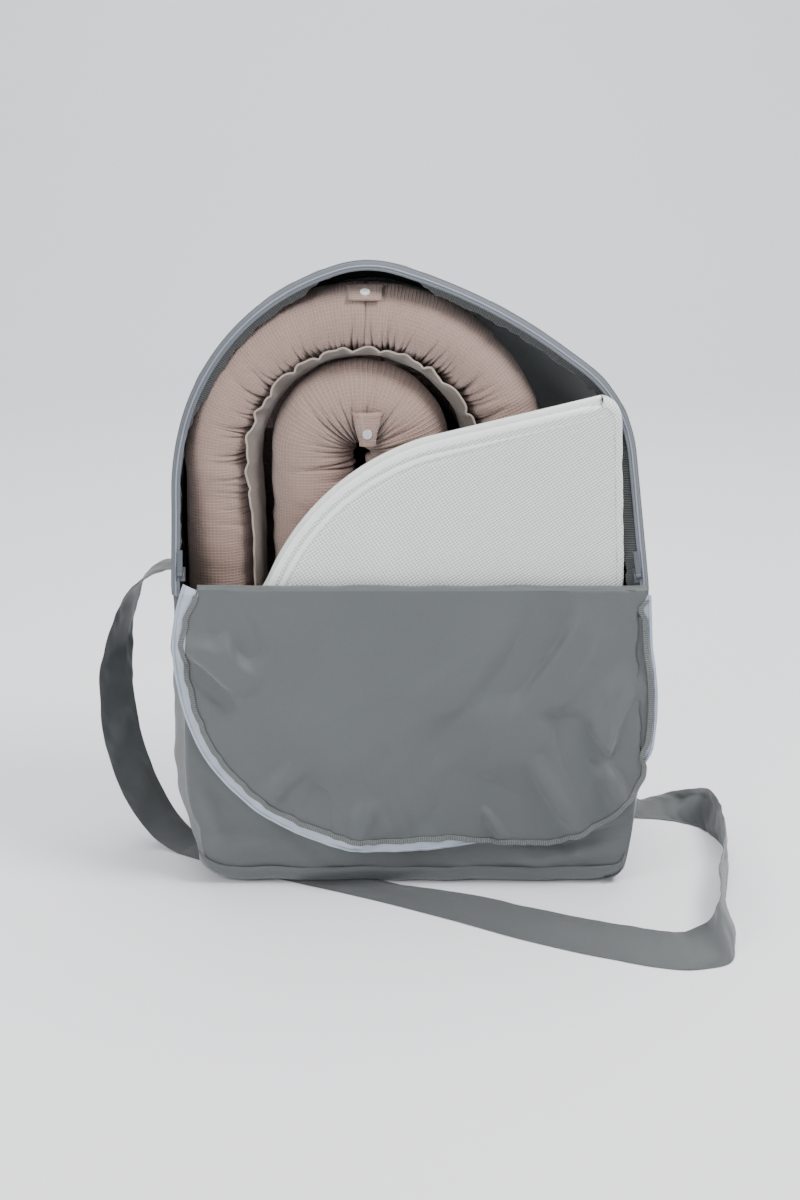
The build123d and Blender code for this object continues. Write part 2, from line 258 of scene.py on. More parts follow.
def cord_mesh(nu, nv, points, radius, size):
    """A round thread along points(u), as a closed tube; radius may be a function of u."""

    def shape(u, v):
        p = points(u)
        ahead = points(np.clip(u + 2e-4, 0, 1)) - points(np.clip(u - 2e-4, 0, 1))
        ahead /= np.linalg.norm(ahead, axis=0) + 1e-12
        side = np.cross(ahead, np.array([[0.0], [1.0], [0.0]]), axis=0)
        side /= np.linalg.norm(side, axis=0) + 1e-12
        up = np.cross(side, ahead, axis=0)
        r = radius(u) if callable(radius) else radius
        angle = 2 * math.pi * v
        p = p + (side * np.cos(angle) + up * np.sin(angle)) * r
        return p[0], p[1], p[2]

    return sheet_mesh(nu, nv, shape, close_v=True, caps=True, size=size)


# ---------------------------------------------------------------- materials


class Value:
    """A number on a shader socket, which adds Math nodes when it is used in an expression."""

    def __init__(self, paint, socket):
        self.paint = paint
        self.socket = socket

    def _math(self, operation, *values):
        return self.paint.math(operation, *values)

    def __add__(self, other):
        return self._math("ADD", self, other)

    __radd__ = __add__

    def __mul__(self, other):
        return self._math("MULTIPLY", self, other)

    __rmul__ = __mul__

    def __sub__(self, other):
        return self._math("SUBTRACT", self, other)

    def __rsub__(self, other):
        return self._math("SUBTRACT", other, self)

    def __truediv__(self, other):
        return self._math("DIVIDE", self, other)

    def __pow__(self, other):
        return self._math("POWER", self, other)

    def __abs__(self):
        return self._math("ABSOLUTE", self)


class Paint:
    """One node material. node() makes any node, math() a Math node, mix() a colour mix."""

    def __init__(self, name, **fixed):
        self.material = bpy.data.materials.new(name)
        self.material.use_nodes = True
        self.tree = self.material.node_tree
        self.shader = self.tree.nodes["Principled BSDF"]
        for socket, value in fixed.items():
            self.shader.inputs[socket.replace("_", " ")].default_value = value

    def node(self, kind, settings=None, **inputs):
        node = self.tree.nodes.new(kind)
        for key, value in (settings or {}).items():
            setattr(node, key, value)
        for key, value in inputs.items():
            self.feed(node.inputs[int(key[1:]) if key[1:].isdigit() else key.replace("_", " ")], value)
        return node

    def feed(self, socket, value):
        if isinstance(value, Value):
            value = value.socket
        if isinstance(value, bpy.types.NodeSocket):
            self.tree.links.new(value, socket)
        else:
            socket.default_value = value

    def math(self, operation, *values):
        node = self.tree.nodes.new("ShaderNodeMath")
        node.operation = operation
        for socket, value in zip(node.inputs, values):
            self.feed(socket, value)
        return Value(self, node.outputs[0])

    def sine(self, value):
        return self.math("SINE", value)

    def step(self, low, high, value):
        node = self.node("ShaderNodeMapRange", {"interpolation_type": "SMOOTHSTEP"}, Value=value)
        node.inputs["From Min"].default_value = low
        node.inputs["From Max"].default_value = high
        return Value(self, node.outputs["Result"])

    def mix(self, factor, a, b):
        node = self.node("ShaderNodeMix", {"data_type": "RGBA"}, i0=factor, i6=a, i7=b)
        return node.outputs[2]

    def axes(self, output="Object"):
        """The three parts of a texture coordinate, and the coordinate itself."""
        coords = self.node("ShaderNodeTexCoord").outputs[output]
        parts = self.node("ShaderNodeSeparateXYZ", None, i0=coords).outputs
        return [Value(self, part) for part in parts], coords

    def noise(self, coords, scale, detail=3.0, roughness=0.5):
        node = self.node("ShaderNodeTexNoise", None, Vector=coords, Scale=scale, Detail=detail)
        node.inputs["Roughness"].default_value = roughness
        return Value(self, node.outputs["Fac"])

    def relief(self, height, distance, strength=1.0, below=None):
        node = self.node("ShaderNodeBump", None, Height=height, Strength=strength, Distance=distance)
        if below is not None:
            self.feed(node.inputs["Normal"], below)
        return node.outputs["Normal"]

    def set(self, socket, value):
        self.feed(self.shader.inputs[socket], value)


def shade(colour, factor):
    return tuple(c * factor for c in colour[:3]) + (1.0,)


def cloth_paint(name, colour, thread, rough=0.62, sheen=0.25, contrast=0.12, relief=0.00006):
    """A close woven cloth: thread is the distance from one thread to the next, in millimetres."""
    paint = Paint(name, Sheen_Weight=sheen, Sheen_Roughness=0.4, Specular_IOR_Level=0.35)
    (u, v, _), _ = paint.axes("UV")
    _, place = paint.axes("Object")
    turn = 2 * math.pi / (thread * MM)
    warp = paint.sine(u * turn)
    weft = paint.sine(v * turn)
    weave = warp * weft
    cloud = paint.noise(place, 9.0, 4.0)
    fleck = paint.noise(place, 420.0, 2.0)
    tone = paint.mix(cloud, shade(colour, 1 - contrast), shade(colour, 1 + contrast))
    tone = paint.mix(paint.step(0.35, 0.75, fleck) * 0.35, tone, shade(colour, 1 + contrast * 1.3))
    paint.set("Base Color", tone)
    paint.set("Roughness", cloud * 0.12 + (rough - 0.06))
    wrinkle = paint.noise(place, 26.0, 3.0)
    soft = paint.relief(wrinkle, 0.0012, 0.35)
    paint.set("Normal", paint.relief(weave, relief, 0.5, soft))
    return paint.material


def waffle_paint(name, colour, pitch):
    """A cotton waffle weave: raised ribs round small square pits, strongest across the tube, with painted
    shade in the pits and painted light on the ribs.
    """
    paint = Paint(name, Sheen_Weight=0.35, Sheen_Roughness=0.5, Specular_IOR_Level=0.2)
    (u, v, _), _ = paint.axes("UV")
    _, place = paint.axes("Object")
    turn = math.pi / (pitch * MM)
    stray = paint.noise(place, 55.0, 2.0)
    across = 1 - abs(paint.sine(u * turn + stray * 1.2))
    along = 1 - abs(paint.sine(v * turn * 0.86 + stray * 0.8))
    rib_across = paint.step(0.25, 0.95, across)
    rib_along = paint.step(0.35, 1.0, along)
    rib = paint.math("MAXIMUM", rib_across, rib_along * 0.7)
    cloud = paint.noise(place, 14.0, 4.0)
    fuzz = paint.noise(place, 900.0, 2.0)
    # Painted shade and light: the pits take the cotton's colour darkened as the shade inside them, the rib
    # crowns a lighter copy as the light falling on them.
    pit_painted_shade = shade(colour, 0.72)
    rib_painted_light = shade(colour, 1.16)
    tone = paint.mix(rib * 0.8 + fuzz * 0.3, pit_painted_shade, rib_painted_light)
    tone = paint.mix(cloud * 0.5, tone, (colour[0] * 0.93, colour[1] * 0.86, colour[2] * 0.86, 1))
    paint.set("Base Color", tone)
    paint.set("Roughness", fuzz * 0.1 + 0.82)
    coarse = paint.relief(rib, 0.0009, 0.85)
    paint.set("Normal", paint.relief(fuzz, 0.0002, 0.4, coarse))
    return paint.material


def mesh_paint(name, colour, pitch):
    """A knitted spacer mesh: slanting rows of small holes in white yarn, with painted shade in the holes."""
    paint = Paint(name, Sheen_Weight=0.2, Specular_IOR_Level=0.4)
    (x, _, z), place = paint.axes("Object")
    slant = math.radians(33)
    turn = math.pi / (pitch * MM)
    stray = paint.noise(place, 30.0, 2.0)
    a = (x * math.cos(slant) + z * math.sin(slant)) * turn + stray * 0.5
    b = (z * math.cos(slant) - x * math.sin(slant)) * turn * 1.25 + stray * 0.5
    # Painted shade: the holes, and bands along their rows, are painted down to half the yarn's colour as the
    # shade inside them; the row bands darken more from X = -0.06 m to X = 0.12 m.
    shaded_hole = abs(paint.sine(a)) * abs(paint.sine(b))
    shaded_hole = paint.step(0.3, 0.8, shaded_hole)
    rows = paint.step(0.45, 1.0, abs(paint.sine(b)))
    shaded_hole = paint.math("MAXIMUM", shaded_hole * 0.9, rows * (paint.step(-0.06, 0.12, x) * 0.45 + 0.25))
    fuzz = paint.noise(place, 1200.0, 2.0)
    cloud = paint.noise(place, 10.0, 3.0)
    tone = paint.mix(shaded_hole, shade(colour, 1.04), shade(colour, 0.5))
    tone = paint.mix(cloud * 0.25, tone, shade(colour, 0.82))
    paint.set("Base Color", tone)
    paint.set("Roughness", fuzz * 0.15 + 0.6)
    knit = paint.relief(1 - shaded_hole, 0.0009, 0.8)
    paint.set("Normal", paint.relief(fuzz, 0.0002, 0.3, knit))
    return paint.material


def stitch_paint(name, colour, dark, pitch):
    """An overlocked edge: close threads laid across the edge."""
    paint = Paint(name, Specular_IOR_Level=0.3, Sheen_Weight=0.2)
    (u, v, _), _ = paint.axes("UV")
    _, place = paint.axes("Object")
    wave = paint.sine(u * (2 * math.pi / (pitch * MM)) + paint.noise(place, 300.0) * 2.5)
    thread = paint.step(-0.5, 0.6, wave)
    paint.set("Base Color", paint.mix(thread, dark, colour))
    paint.set("Roughness", thread * 0.1 + 0.65)
    paint.set("Normal", paint.relief(thread, 0.0006, 0.9))
    return paint.material


def tape_paint(name, colour, pitch=0.9):
    """A woven zip tape: fine herringbone ribs along its length."""
    paint = Paint(name, Specular_IOR_Level=0.4, Sheen_Weight=0.3)
    (u, v, _), _ = paint.axes("UV")
    _, place = paint.axes("Object")
    rib = paint.sine((v + abs(paint.sine(u * 900.0)) * 0.0008) * (2 * math.pi / (pitch * MM)))
    cloud = paint.noise(place, 40.0, 3.0)
    tone = paint.mix(paint.step(-1.0, 1.0, rib), shade(colour, 0.86), shade(colour, 1.08))
    paint.set("Base Color", paint.mix(cloud * 0.4, tone, shade(colour, 0.85)))
    paint.set("Roughness", cloud * 0.15 + 0.5)
    paint.set("Normal", paint.relief(rib, 0.0001, 0.5))
    return paint.material


def metal_paint(name, colour, rough):
    """Plated metal with faint scuffs."""
    paint = Paint(name, Metallic=1.0)
    _, place = paint.axes("Object")
    scuff = paint.noise(place, 260.0, 5.0, 0.7)
    paint.set("Base Color", paint.mix(scuff, shade(colour, 0.85), shade(colour, 1.08)))
    paint.set("Roughness", scuff * 0.25 + rough)
    paint.set("Normal", paint.relief(scuff, 0.0001, 0.25))
    return paint.material


def plastic_paint(name, colour, rough):
    """Moulded plastic with a faint mottle."""
    paint = Paint(name, Coat_Roughness=0.2)
    _, place = paint.axes("Object")
    mottle = paint.noise(place, 180.0, 4.0)
    paint.set("Base Color", paint.mix(mottle, shade(colour, 0.93), shade(colour, 1.05)))
    paint.set("Roughness", mottle * 0.15 + rough)
    paint.set("Normal", paint.relief(mottle, 0.0001, 0.2))
    return paint.material


def fibre_paint(name, colour):
    """Loose white filling fibre."""
    paint = Paint(name, Sheen_Weight=0.4)
    _, place = paint.axes("Object")
    tuft = paint.noise(place, 160.0, 6.0, 0.7)
    paint.set("Base Color", paint.mix(tuft, shade(colour, 0.8), colour))
    paint.set("Roughness", tuft * 0.1 + 0.85)
    paint.set("Normal", paint.relief(tuft, 0.003, 0.8))
    return paint.material


def stage_paint(name, colour):
    """Smooth pale studio paper."""
    paint = Paint(name, Specular_IOR_Level=0.2)
    _, place = paint.axes("Object")
    tone = paint.noise(place, 1.5, 2.0)
    paint.set("Base Color", paint.mix(tone, shade(colour, 0.985), shade(colour, 1.015)))
    paint.set("Roughness", tone * 0.05 + 0.8)
    return paint.material


# ---------------------------------------------------------------- settings


def colour_prop(name, description, default):
    return bpy.props.FloatVectorProperty(
        name=name, description=description, default=default, subtype="COLOR", size=4, min=0, max=1
    )


def length_prop(name, description, default_mm, low=0.0, high=1.0):
    return bpy.props.FloatProperty(
        name=name,
        description=description,
        default=default_mm * MM,
        min=low,
        max=high,
        subtype="DISTANCE",
        unit="LENGTH",
    )


class NestColours(bpy.types.PropertyGroup):
    bag: colour_prop("Bag", "Satin polyester of the bag", (0.092, 0.100, 0.101, 1))
    strap: colour_prop("Strap", "Cloth of the shoulder strap", (0.078, 0.084, 0.085, 1))
    tape: colour_prop("Zip tape", "Woven zip tape", (0.42, 0.465, 0.55, 1))
    stitch: colour_prop("Overlock", "Overlock thread", (0.168, 0.178, 0.174, 1))
    waffle: colour_prop("Ring cover", "Waffle cotton of the ring", (0.378, 0.264, 0.222, 1))
    floor: colour_prop("Floor", "Plain cotton of the nest's floor", (0.175, 0.145, 0.126, 1))
    mesh: colour_prop("Mattress", "Spacer mesh of the mattress", (0.83, 0.85, 0.835, 1))
    binding: colour_prop("Binding", "Smooth binding of the mattress", (0.84, 0.855, 0.84, 1))
    metal: colour_prop("Metal", "Plated zip and snap metal", (0.62, 0.64, 0.66, 1))


class NestSizes(bpy.types.PropertyGroup):
    waffle_pitch: length_prop("Waffle pitch", "Distance between ribs of the waffle cloth", 3.0)
    mesh_pitch: length_prop("Mesh pitch", "Distance between holes of the spacer mesh", 3.4)
    tape_width: length_prop("Zip tape width", "Width of one half of the zip", 11.0)
    strap_width: length_prop("Strap width", "Width of the shoulder strap", 45.0)
    gather_depth: length_prop("Gather depth", "Depth of the ring's gathers", 6.4)


def colours():
    return bpy.context.scene.nest_colours


def sizes():
    return bpy.context.scene.nest_sizes


def paint_once(name, make, *args):
    """The named material, made the first time it is asked for."""
    found = bpy.data.materials.get(name)
    return found or make(name, *args)


def bag_cloth():
    return paint_once("bag_cloth", cloth_paint, tuple(colours().bag), 0.45, 0.44, 0.35)


def tape_cloth():
    return paint_once("zip_tape_cloth", tape_paint, tuple(colours().tape))


def coil_plastic():
    return paint_once("zip_coil", plastic_paint, shade(tuple(colours().tape), 0.85), 0.4)


def overlock():
    thread = tuple(colours().stitch)
    return paint_once("overlock", stitch_paint, thread, shade(thread, 0.55), 2.2)


def waffle():
    pitch = sizes().waffle_pitch / MM
    return paint_once("waffle_cotton", waffle_paint, tuple(colours().waffle), pitch)


def finish_piece(piece, body, replaced=()):
    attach(piece, body)
    if replaced:
        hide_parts(*replaced)
    return piece


# ---------------------------------------------------------------- the bag's shell

ARCH_Z = 400.0
LOWER_Z = 20.0
BASE_RIGHT = 197.0
BASE_RUN = 393.0
CLOTH_MM = 1.0


def bag_path():
    """The bag's outline from the bottom left corner, over the top, to the bottom right one."""
    left = -BAG_HALF_W
    path = Path((-196, 3))
    path.arc((-211, 10), (-217, 26)).line((-229, 62)).arc((-234, 92), (left, 130))
    path.line((left + 1.5, ARCH_Z)).arc((-169, 574), (-79, 630))
    path.arc((-42, 637.5), (-6, 631)).arc((74, 599), (163, 543)).arc((206, 499), (222, 456))
    path.line((BAG_HALF_W - 1, FOLD_Z)).line((BAG_HALF_W - 3, 130))
    return path.arc((232.5, 76), (226, 27)).arc((218, 8), (202, 2)).done(smooth=30)


BAG = bag_path()


def edge_depth(z):
    """How far forward the bag's front edge stands at height z: it leans back above the fold."""
    return np.interp(z, [0, FOLD_Z, 470, 700], [-84.0, -84.0, -36.0, -34.0])


def gusset_shape(u, v):
    """The strip round the bag, from its front edge at v = 0 to the back seam at v = 1."""
    s = u * BAG.length
    x, z = BAG.at(s)
    nx, nz = BAG.right(s)
    front = edge_depth(z)
    y = front + (BAG_BACK_Y - 1.5 - front) * v
    low = 1 - smooth(230, 330, z)
    tuck = np.where(x < 0, -9.0, -3.0) * low * (1 - smooth(0.0, 0.3, v))
    belly = (4.0 + 5.0 * (x < 0) * low) * np.sin(math.pi * v) * (0.5 + 0.5 * low)
    folds = wander(s + 40 * v, 3, 90) * 1.8 * np.sin(math.pi * v) ** 0.6
    folds = folds + wander(y * 1.5 + 0.3 * s, 5, 120) * 1.2 * smooth(0.05, 0.3, v) * (1 - v**6)
    pinch = -5 * bump(z, 62, 14) * low * np.exp(-v * 5) * (x < 0)
    slump = -0.2 * (y - front) * np.clip(-nz, 0, 1) ** 1.5
    out = tuck + belly + folds + pinch + slump
    return x - nx * out, y, np.maximum(z - nz * out, 0.8)


def front_edge(s):
    """The gusset's front edge, where the front panel and the zip are sewn on."""
    one = np.ones_like(s)
    x, y, z = gusset_shape(s / BAG.length, 0 * one)
    return x, y, z


def side_lengths():
    """The distances along the outline to the fold on the left, the apex and the fold on the right."""
    z = BAG.points[:, 1]
    top = int(np.argmax(z))
    left = np.interp(FOLD_Z, z[:top], BAG.s[:top])
    right = np.interp(-FOLD_Z, -z[top:], BAG.s[top:])
    return left, BAG.s[top], right


S_LEFT, S_TOP, S_RIGHT = side_lengths()


class NEST_OT_bag_shell(bpy.types.Operator):
    """Build the bag's back, side strip and bottom"""

    bl_idname = "nest.bag_shell"
    bl_label = "Bag shell"

    def execute(self, context):
        cloth = bag_cloth()
        split = S_TOP / BAG.length
        for name, start, end in (("gusset_left", 0.0, split), ("gusset_right", split, 1.0)):
            length = (end - start) * BAG.length

            def shape(u, v, start=start, end=end):
                return gusset_shape(start + (end - start) * u, v)

            bm = sheet_mesh(int(length / 4), 44, shape, size=(length, 170))
            piece = finish_piece(new_object(name, bm, cloth), "bag", (name,))
            thicken(piece, CLOTH_MM)
            length * MM

        whole = BAG.length + BASE_RUN

        def back(u, v):
            """The back panel, as a fan from its seam to its middle."""
            s = u * whole
            x, y, z = gusset_shape(np.clip(s / BAG.length, 0, 1), np.ones_like(u))
            under = np.clip((s - BAG.length) / BASE_RUN, 0, 1)
            x = np.where(under > 0, BASE_RIGHT - BASE_RUN * under, x)
            z = np.where(under > 0, 2 + under, z)
            px = x * (1 - v)
            pz = z + (300 - z) * v
            puff = 6 * (1 - (1 - v) ** 2) + wander(px + 0.6 * pz, 11, 210) * 2.2 * smooth(0, 0.3, v)
            puff = puff + wander(pz - 0.4 * px, 12, 160) * 1.6 * smooth(0, 0.3, v)
            return px, y + puff, pz

        bm = sheet_mesh(460, 70, back, size=(whole, 240))
        bmesh.ops.remove_doubles(bm, verts=bm.verts, dist=2e-5)
        piece = new_object("back_panel", bm, cloth)
        finish_piece(piece, "bag", ("back_panel",))
        thicken(piece, CLOTH_MM)

        def lining(u, v):
            x, y, z = back(u, v)
            return 0.96 * x, y - 5 - 2 * smooth(0, 0.2, v), 22 + 0.95 * z - 2

        bm = sheet_mesh(300, 40, lining, size=(whole, 240))
        bmesh.ops.remove_doubles(bm, verts=bm.verts, dist=2e-5)
        # Painted light: the lining's colour is the bag cloth raised five and a half times, to lighten the
        # shaded inside of the bag.
        inner = paint_once("bag_lining", cloth_paint, shade(tuple(colours().bag), 5.5), 0.45, 0.6, 0.2)
        finish_piece(new_object("back_lining", bm, inner), "bag")

        def bottom(u, v):
            x = -217 + 439 * u
            y = -86 + (BAG_BACK_Y + 84) * v
            strap = np.abs((x + 130) * 0.475 + (y + 52) * 0.88)
            end = smooth(0, 0.12, u) * smooth(0, 0.1, 1 - u)
            rim = np.abs(2 * v - 1) ** 12
            z = 2.5 * (1 - end) + (LOWER_Z + 1) * rim + wander(x, 21, 150) * 1.2 * end
            side = np.clip((np.abs(x) - np.where(x > 0, 191, 186)) / 34, 0, 1)
            corner = 14 * (1 - np.sqrt(1 - np.clip((x - 208) / 14, 0, 1) ** 2))
            inside = np.where(x > 0, smooth(0.04, 0.16, v), 1.0)
            z = z + 30 * (1 - np.sqrt(1 - side**2)) * inside + corner * (1 - inside)
            y = -88.5 + (BAG_BACK_Y + 86.5) * v - 3 * np.sin(math.pi * np.clip(v * 6, 0, 1)) * end
            z = np.maximum(z, 1.0)
            lift = (1 - smooth(24, 40, strap)) * (1 - smooth(-20, 20, x))
            return x, y, z + np.maximum(3.2 - z, 0) * lift

        bm = sheet_mesh(120, 60, bottom, size=(444, 180))
        piece = new_object("bottom_panel", bm, cloth)
        finish_piece(piece, "bag", ("bottom_panel",))
        thicken(piece, CLOTH_MM)
        return {"FINISHED"}


# ---------------------------------------------------------------- the front panel and the flap


def flap_outline():
    """The hanging flap's edge, from the fold on the left, round below, to the fold on the right."""
    path = Path((-224, FOLD_Z + 6))
    path.arc((-236, 272), (-233, 226)).arc((-196, 130), (-122, 66)).arc((-70, 47), (-10, 43))
    path.line((110, 52)).arc((198, 74), (240, 128)).arc((248, 190), (241, 262))
    return path.line((237, FOLD_Z + 4)).done(smooth=24)


FLAP = flap_outline()
# Folds higher than this would reach the mattress when the flap is closed, so they are pressed flatter.
RELIEF_FREE = 6.0
RELIEF_GIVE = 3.5
FOLD_STRENGTH = 2.3


def flap_relief(x, z):
    """How far the hanging flap's cloth stands out from flat, in millimetres."""
    across = (x + 236) / 476
    down = (FOLD_Z - z) / 280
    h = 4.5 * np.sin(math.pi * np.clip(across, 0, 1)) ** 0.7 * np.sin(math.pi * np.clip(down, 0, 1))
    folds = (
        ((160, 300), (95, 205), 15, -7),
        ((142, 304), (12, 140), 17, -4),
        ((178, 306), (60, 120), 20, 3.5),
        ((110, 220), (40, 60), 30, -6),
        ((175, 300), (130, 190), 22, 5),
        ((95, 300), (60, 120), 34, 3),
        ((150, 190), (60, 110), 22, 4),
        ((-226, 268), (-155, 225), 13, 7),
        ((-226, 262), (-170, 190), 9, -4),
        ((-205, 318), (-150, 250), 14, -5),
        ((-178, 300), (-185, 225), 9, 4),
        ((-130, 190), (-40, 120), 30, 3),
        ((238, 118), (130, 200), 12, -6),
        ((214, 88), (190, 190), 9, 7),
        ((196, 76), (150, 170), 8, -7),
        ((170, 66), (120, 150), 9, 5),
        ((122, 58), (85, 112), 9, -4),
        ((98, 55), (70, 100), 7, 3.5),
        ((-60, 46), (-42, 100), 9, 5),
        ((-88, 56), (-92, 120), 8, -4),
        ((-150, 95), (-95, 160), 10, 3.5),
        ((236, 215), (205, 130), 9, -7),
        ((215, 240), (180, 150), 14, 4),
        ((20, 230), (120, 150), 26, 3),
    )
    for start, end, width, height in folds:
        h = h + crease(x, z, start, end, width, FOLD_STRENGTH * height)
    hem = smooth(0.55, 1.0, down) + smooth(0.8, 1.0, np.abs(2 * across - 1))
    h = h + wander(x + 0.4 * z, 31, 46) * 1.0 * hem
    h = h + wander(x * 0.7 - z, 32, 150) * 1.2 * smooth(0.02, 0.3, down)
    h = h + wander(x - 0.6 * z, 33, 240, 2) * 2.5 * smooth(0.02, 0.3, down)
    over = np.maximum(h - RELIEF_FREE, 0)
    return np.where(over > 0, RELIEF_FREE + RELIEF_GIVE * np.tanh(over / RELIEF_GIVE), h)


HEM_S = float(FLAP.s[np.argmin(np.hypot(FLAP.points[:, 0] - 70, FLAP.points[:, 1] - 48))])
RISE_S = float(FLAP.s[np.argmin(np.hypot(FLAP.points[:, 0] - 246, FLAP.points[:, 1] - 150))])


def tucked(s):
    """1 where the flap's edge has rolled forward and hides the zip tape, at the lower right."""
    return smooth(HEM_S - 45, HEM_S + 45, s) * (1 - smooth(RISE_S - 25, RISE_S + 10, s))


def panel_inset(s):
    """How far inside the flap's outline its overlocked cloth edge runs."""
    x, z = FLAP.at(s)
    pocket = 8.0 * bump(z, 225, 62) * (x > 0)
    corner = smooth(300, 318, z) * np.where(x > 0, 9.0, -3.0)
    wave = 3.0 * bump(z, 272, 16) * (x < 0)
    return 11.5 - 10.5 * tucked(s) + pocket - corner - wave + 1.1 * wander(s, 63, 40)


def in_pocket(s):
    """1 beside the pocket, where the cloth bulges in front of its own seam on the right."""
    x, z = FLAP.at(s)
    return (x > 0) * smooth(135, 165, z) * (1 - smooth(292, 312, z))


def lock_inset(s):
    """The overlocked seam stays out beside the tape where the cloth bulges in front of it."""
    return panel_inset(s) + (6.0 - panel_inset(s)) * in_pocket(s)


def flap_edge(s, inset):
    """A point inset from the flap's edge, lying in the flap's cloth."""
    x, z = FLAP.at(s)
    nx, nz = FLAP.right(s)
    px = x - nx * inset
    pz = z - nz * inset
    over = 1.3 * np.maximum(pz - FOLD_Z + 1, 0)
    return px, np.minimum(FLAP_Y - 1.5 - flap_relief(px, pz), FLAP_CLOTH_Y) + over, pz


def flap_shape(u, v):
    """The flap with the roll of cloth at its fold: v runs from behind the fold to the hem."""
    roll = 0.06
    down = np.clip((v - roll) / (1 - roll), 0, 1)
    side = 0.5 * (FLAP.length - 234)

    def edge(s):
        x, z = FLAP.at(s)
        nx, nz = FLAP.right(s)
        inset = panel_inset(s)
        return x - nx * inset, z - nz * inset

    left_x, left_z = edge(down * side)
    right_x, right_z = edge(FLAP.length - down * side)
    hem_x, hem_z = edge(side + u * (FLAP.length - 2 * side))
    low_x, low_z = edge(np.array([side]))
    far_x, far_z = edge(np.array([FLAP.length - side]))
    x = left_x + (right_x - left_x) * u
    z = left_z + (right_z - left_z) * u
    pull = down**3
    x = x + pull * (hem_x - (low_x + (far_x - low_x) * u))
    z = z + pull * (hem_z - (low_z + (far_z - low_z) * u))
    angle = math.pi * np.clip(v / roll, 0, 1)
    y = np.minimum(FLAP_Y - 1.5 - flap_relief(x, z), FLAP_CLOTH_Y)
    on_roll = v < roll
    y = np.where(on_roll, -91.0 + 6.5 * np.cos(angle), y)
    z = np.where(on_roll, FOLD_Z - 0.5 + (4.5 + wander(x, 45, 170)) * np.sin(angle), z)
    return x, y, np.where(on_roll, z, np.minimum(z, FOLD_Z + 1))


def panel_shape(u, v):
    """The fixed lower front panel, from the fold at v = 0 to the bottom seam at v = 1."""
    z = FOLD_Z - 2 + (LOWER_Z - 3 - FOLD_Z + 2) * v
    top = BAG.points[:, 1]
    apex = int(np.argmax(top))
    s_left = np.interp(z, top[:apex], BAG.s[:apex])
    s_right = np.interp(-z, -top[apex:], BAG.s[apex:])
    lx, _, _ = front_edge(s_left)
    rx, _, _ = front_edge(s_right)
    x = lx + (rx - lx) * u
    middle = np.sin(math.pi * u) ** 0.5
    out = 5.5 * middle * np.sin(math.pi * np.clip(v, 0, 1)) ** 0.6
    out = out + crease(x, z, (226, 62), (140, 44), 8, -5.0) + crease(x, z, (226, 84), (170, 62), 7, 4.5)
    out = out + crease(x, z, (215, 40), (90, 30), 7, 4.0) + crease(x, z, (150, 54), (10, 34), 9, -4.0)
    out = out + crease(x, z, (222, 100), (190, 84), 6, -4.0) + crease(x, z, (100, 60), (20, 50), 9, 3.5)
    out = out + crease(x, z, (-214, 60), (-150, 74), 9, -3.0) + crease(x, z, (-210, 40), (-120, 56), 12, 3.5)
    out = out + crease(x, z, (-212, 110), (-190, 40), 9, 3.0)
    out = out + wander(x + z, 51, 120) * 1.2 * middle
    z = z + wander(x, 52, 130) * 1.5 * smooth(0.8, 1, v)
    return x, np.minimum(-85.5 - out, -84.8), z


class NEST_OT_front(bpy.types.Operator):
    """Build the fixed lower front panel and the flap folded down over it"""

    bl_idname = "nest.front"
    bl_label = "Front panel and flap"

    def execute(self, context):
        cloth = bag_cloth()
        bm = sheet_mesh(150, 90, panel_shape, size=(460, 300))
        piece = new_object("front_panel", bm, cloth)
        finish_piece(piece, "bag", ("front_panel",))
        thicken(piece, CLOTH_MM)

        bm = sheet_mesh(190, 150, flap_shape, size=(460, 290))
        piece = new_object("flap_panel", bm, cloth)
        thicken(piece, 0.9)
        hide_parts("flap_panel")
        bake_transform(piece)
        return {"FINISHED"}


# ---------------------------------------------------------------- the zip


def ribbon(name, along, inner, outer, count, across, material, body, replaced=(), thick=0.7):
    """A narrow strip between two edge lines that are functions of the distance along it."""
    low, high = along

    def shape(u, v):
        s = low + (high - low) * u
        a = np.array(outer(s))
        b = np.array(inner(s))
        p = a + (b - a) * v
        return p[0], p[1], p[2]

    bm = sheet_mesh(count, 6, shape, size=(high - low, across))
    piece = finish_piece(new_object(name, bm, material), body, replaced)
    thicken(piece, thick)
    return piece


def thread(name, along, line, count, radius, material, body, slot, replaced=()):
    low, high = along

    def points(u):
        return np.array(line(low + (high - low) * u))

    bm = cord_mesh(count, 8, points, radius, size=(high - low, 2 * math.pi))
    return finish_piece(new_object(name, bm, material), body, replaced)


def body_zip(inwards, forwards):
    """A line beside the bag's front edge, inwards and forwards of it by the given functions."""

    def line(s):
        x, y, z = front_edge(s)
        nx, nz = BAG.right(s)
        a = inwards(s) if callable(inwards) else inwards
        b = forwards(s) if callable(forwards) else forwards
        return x + nx * a, y - b, z + nz * a

    return line


def flap_line(inset, lift):
    def line(s):
        a = inset(s) if callable(inset) else inset
        x, y, z = flap_edge(s, a)
        b = lift(s) if callable(lift) else lift
        return x, y - b, z

    return line


def coil(base, bulge, pitch):
    """The radius of a row of coil teeth, swelling once for each tooth."""

    def radius(u):
        return base + bulge * np.abs(np.sin(math.pi * u * pitch))

    return radius


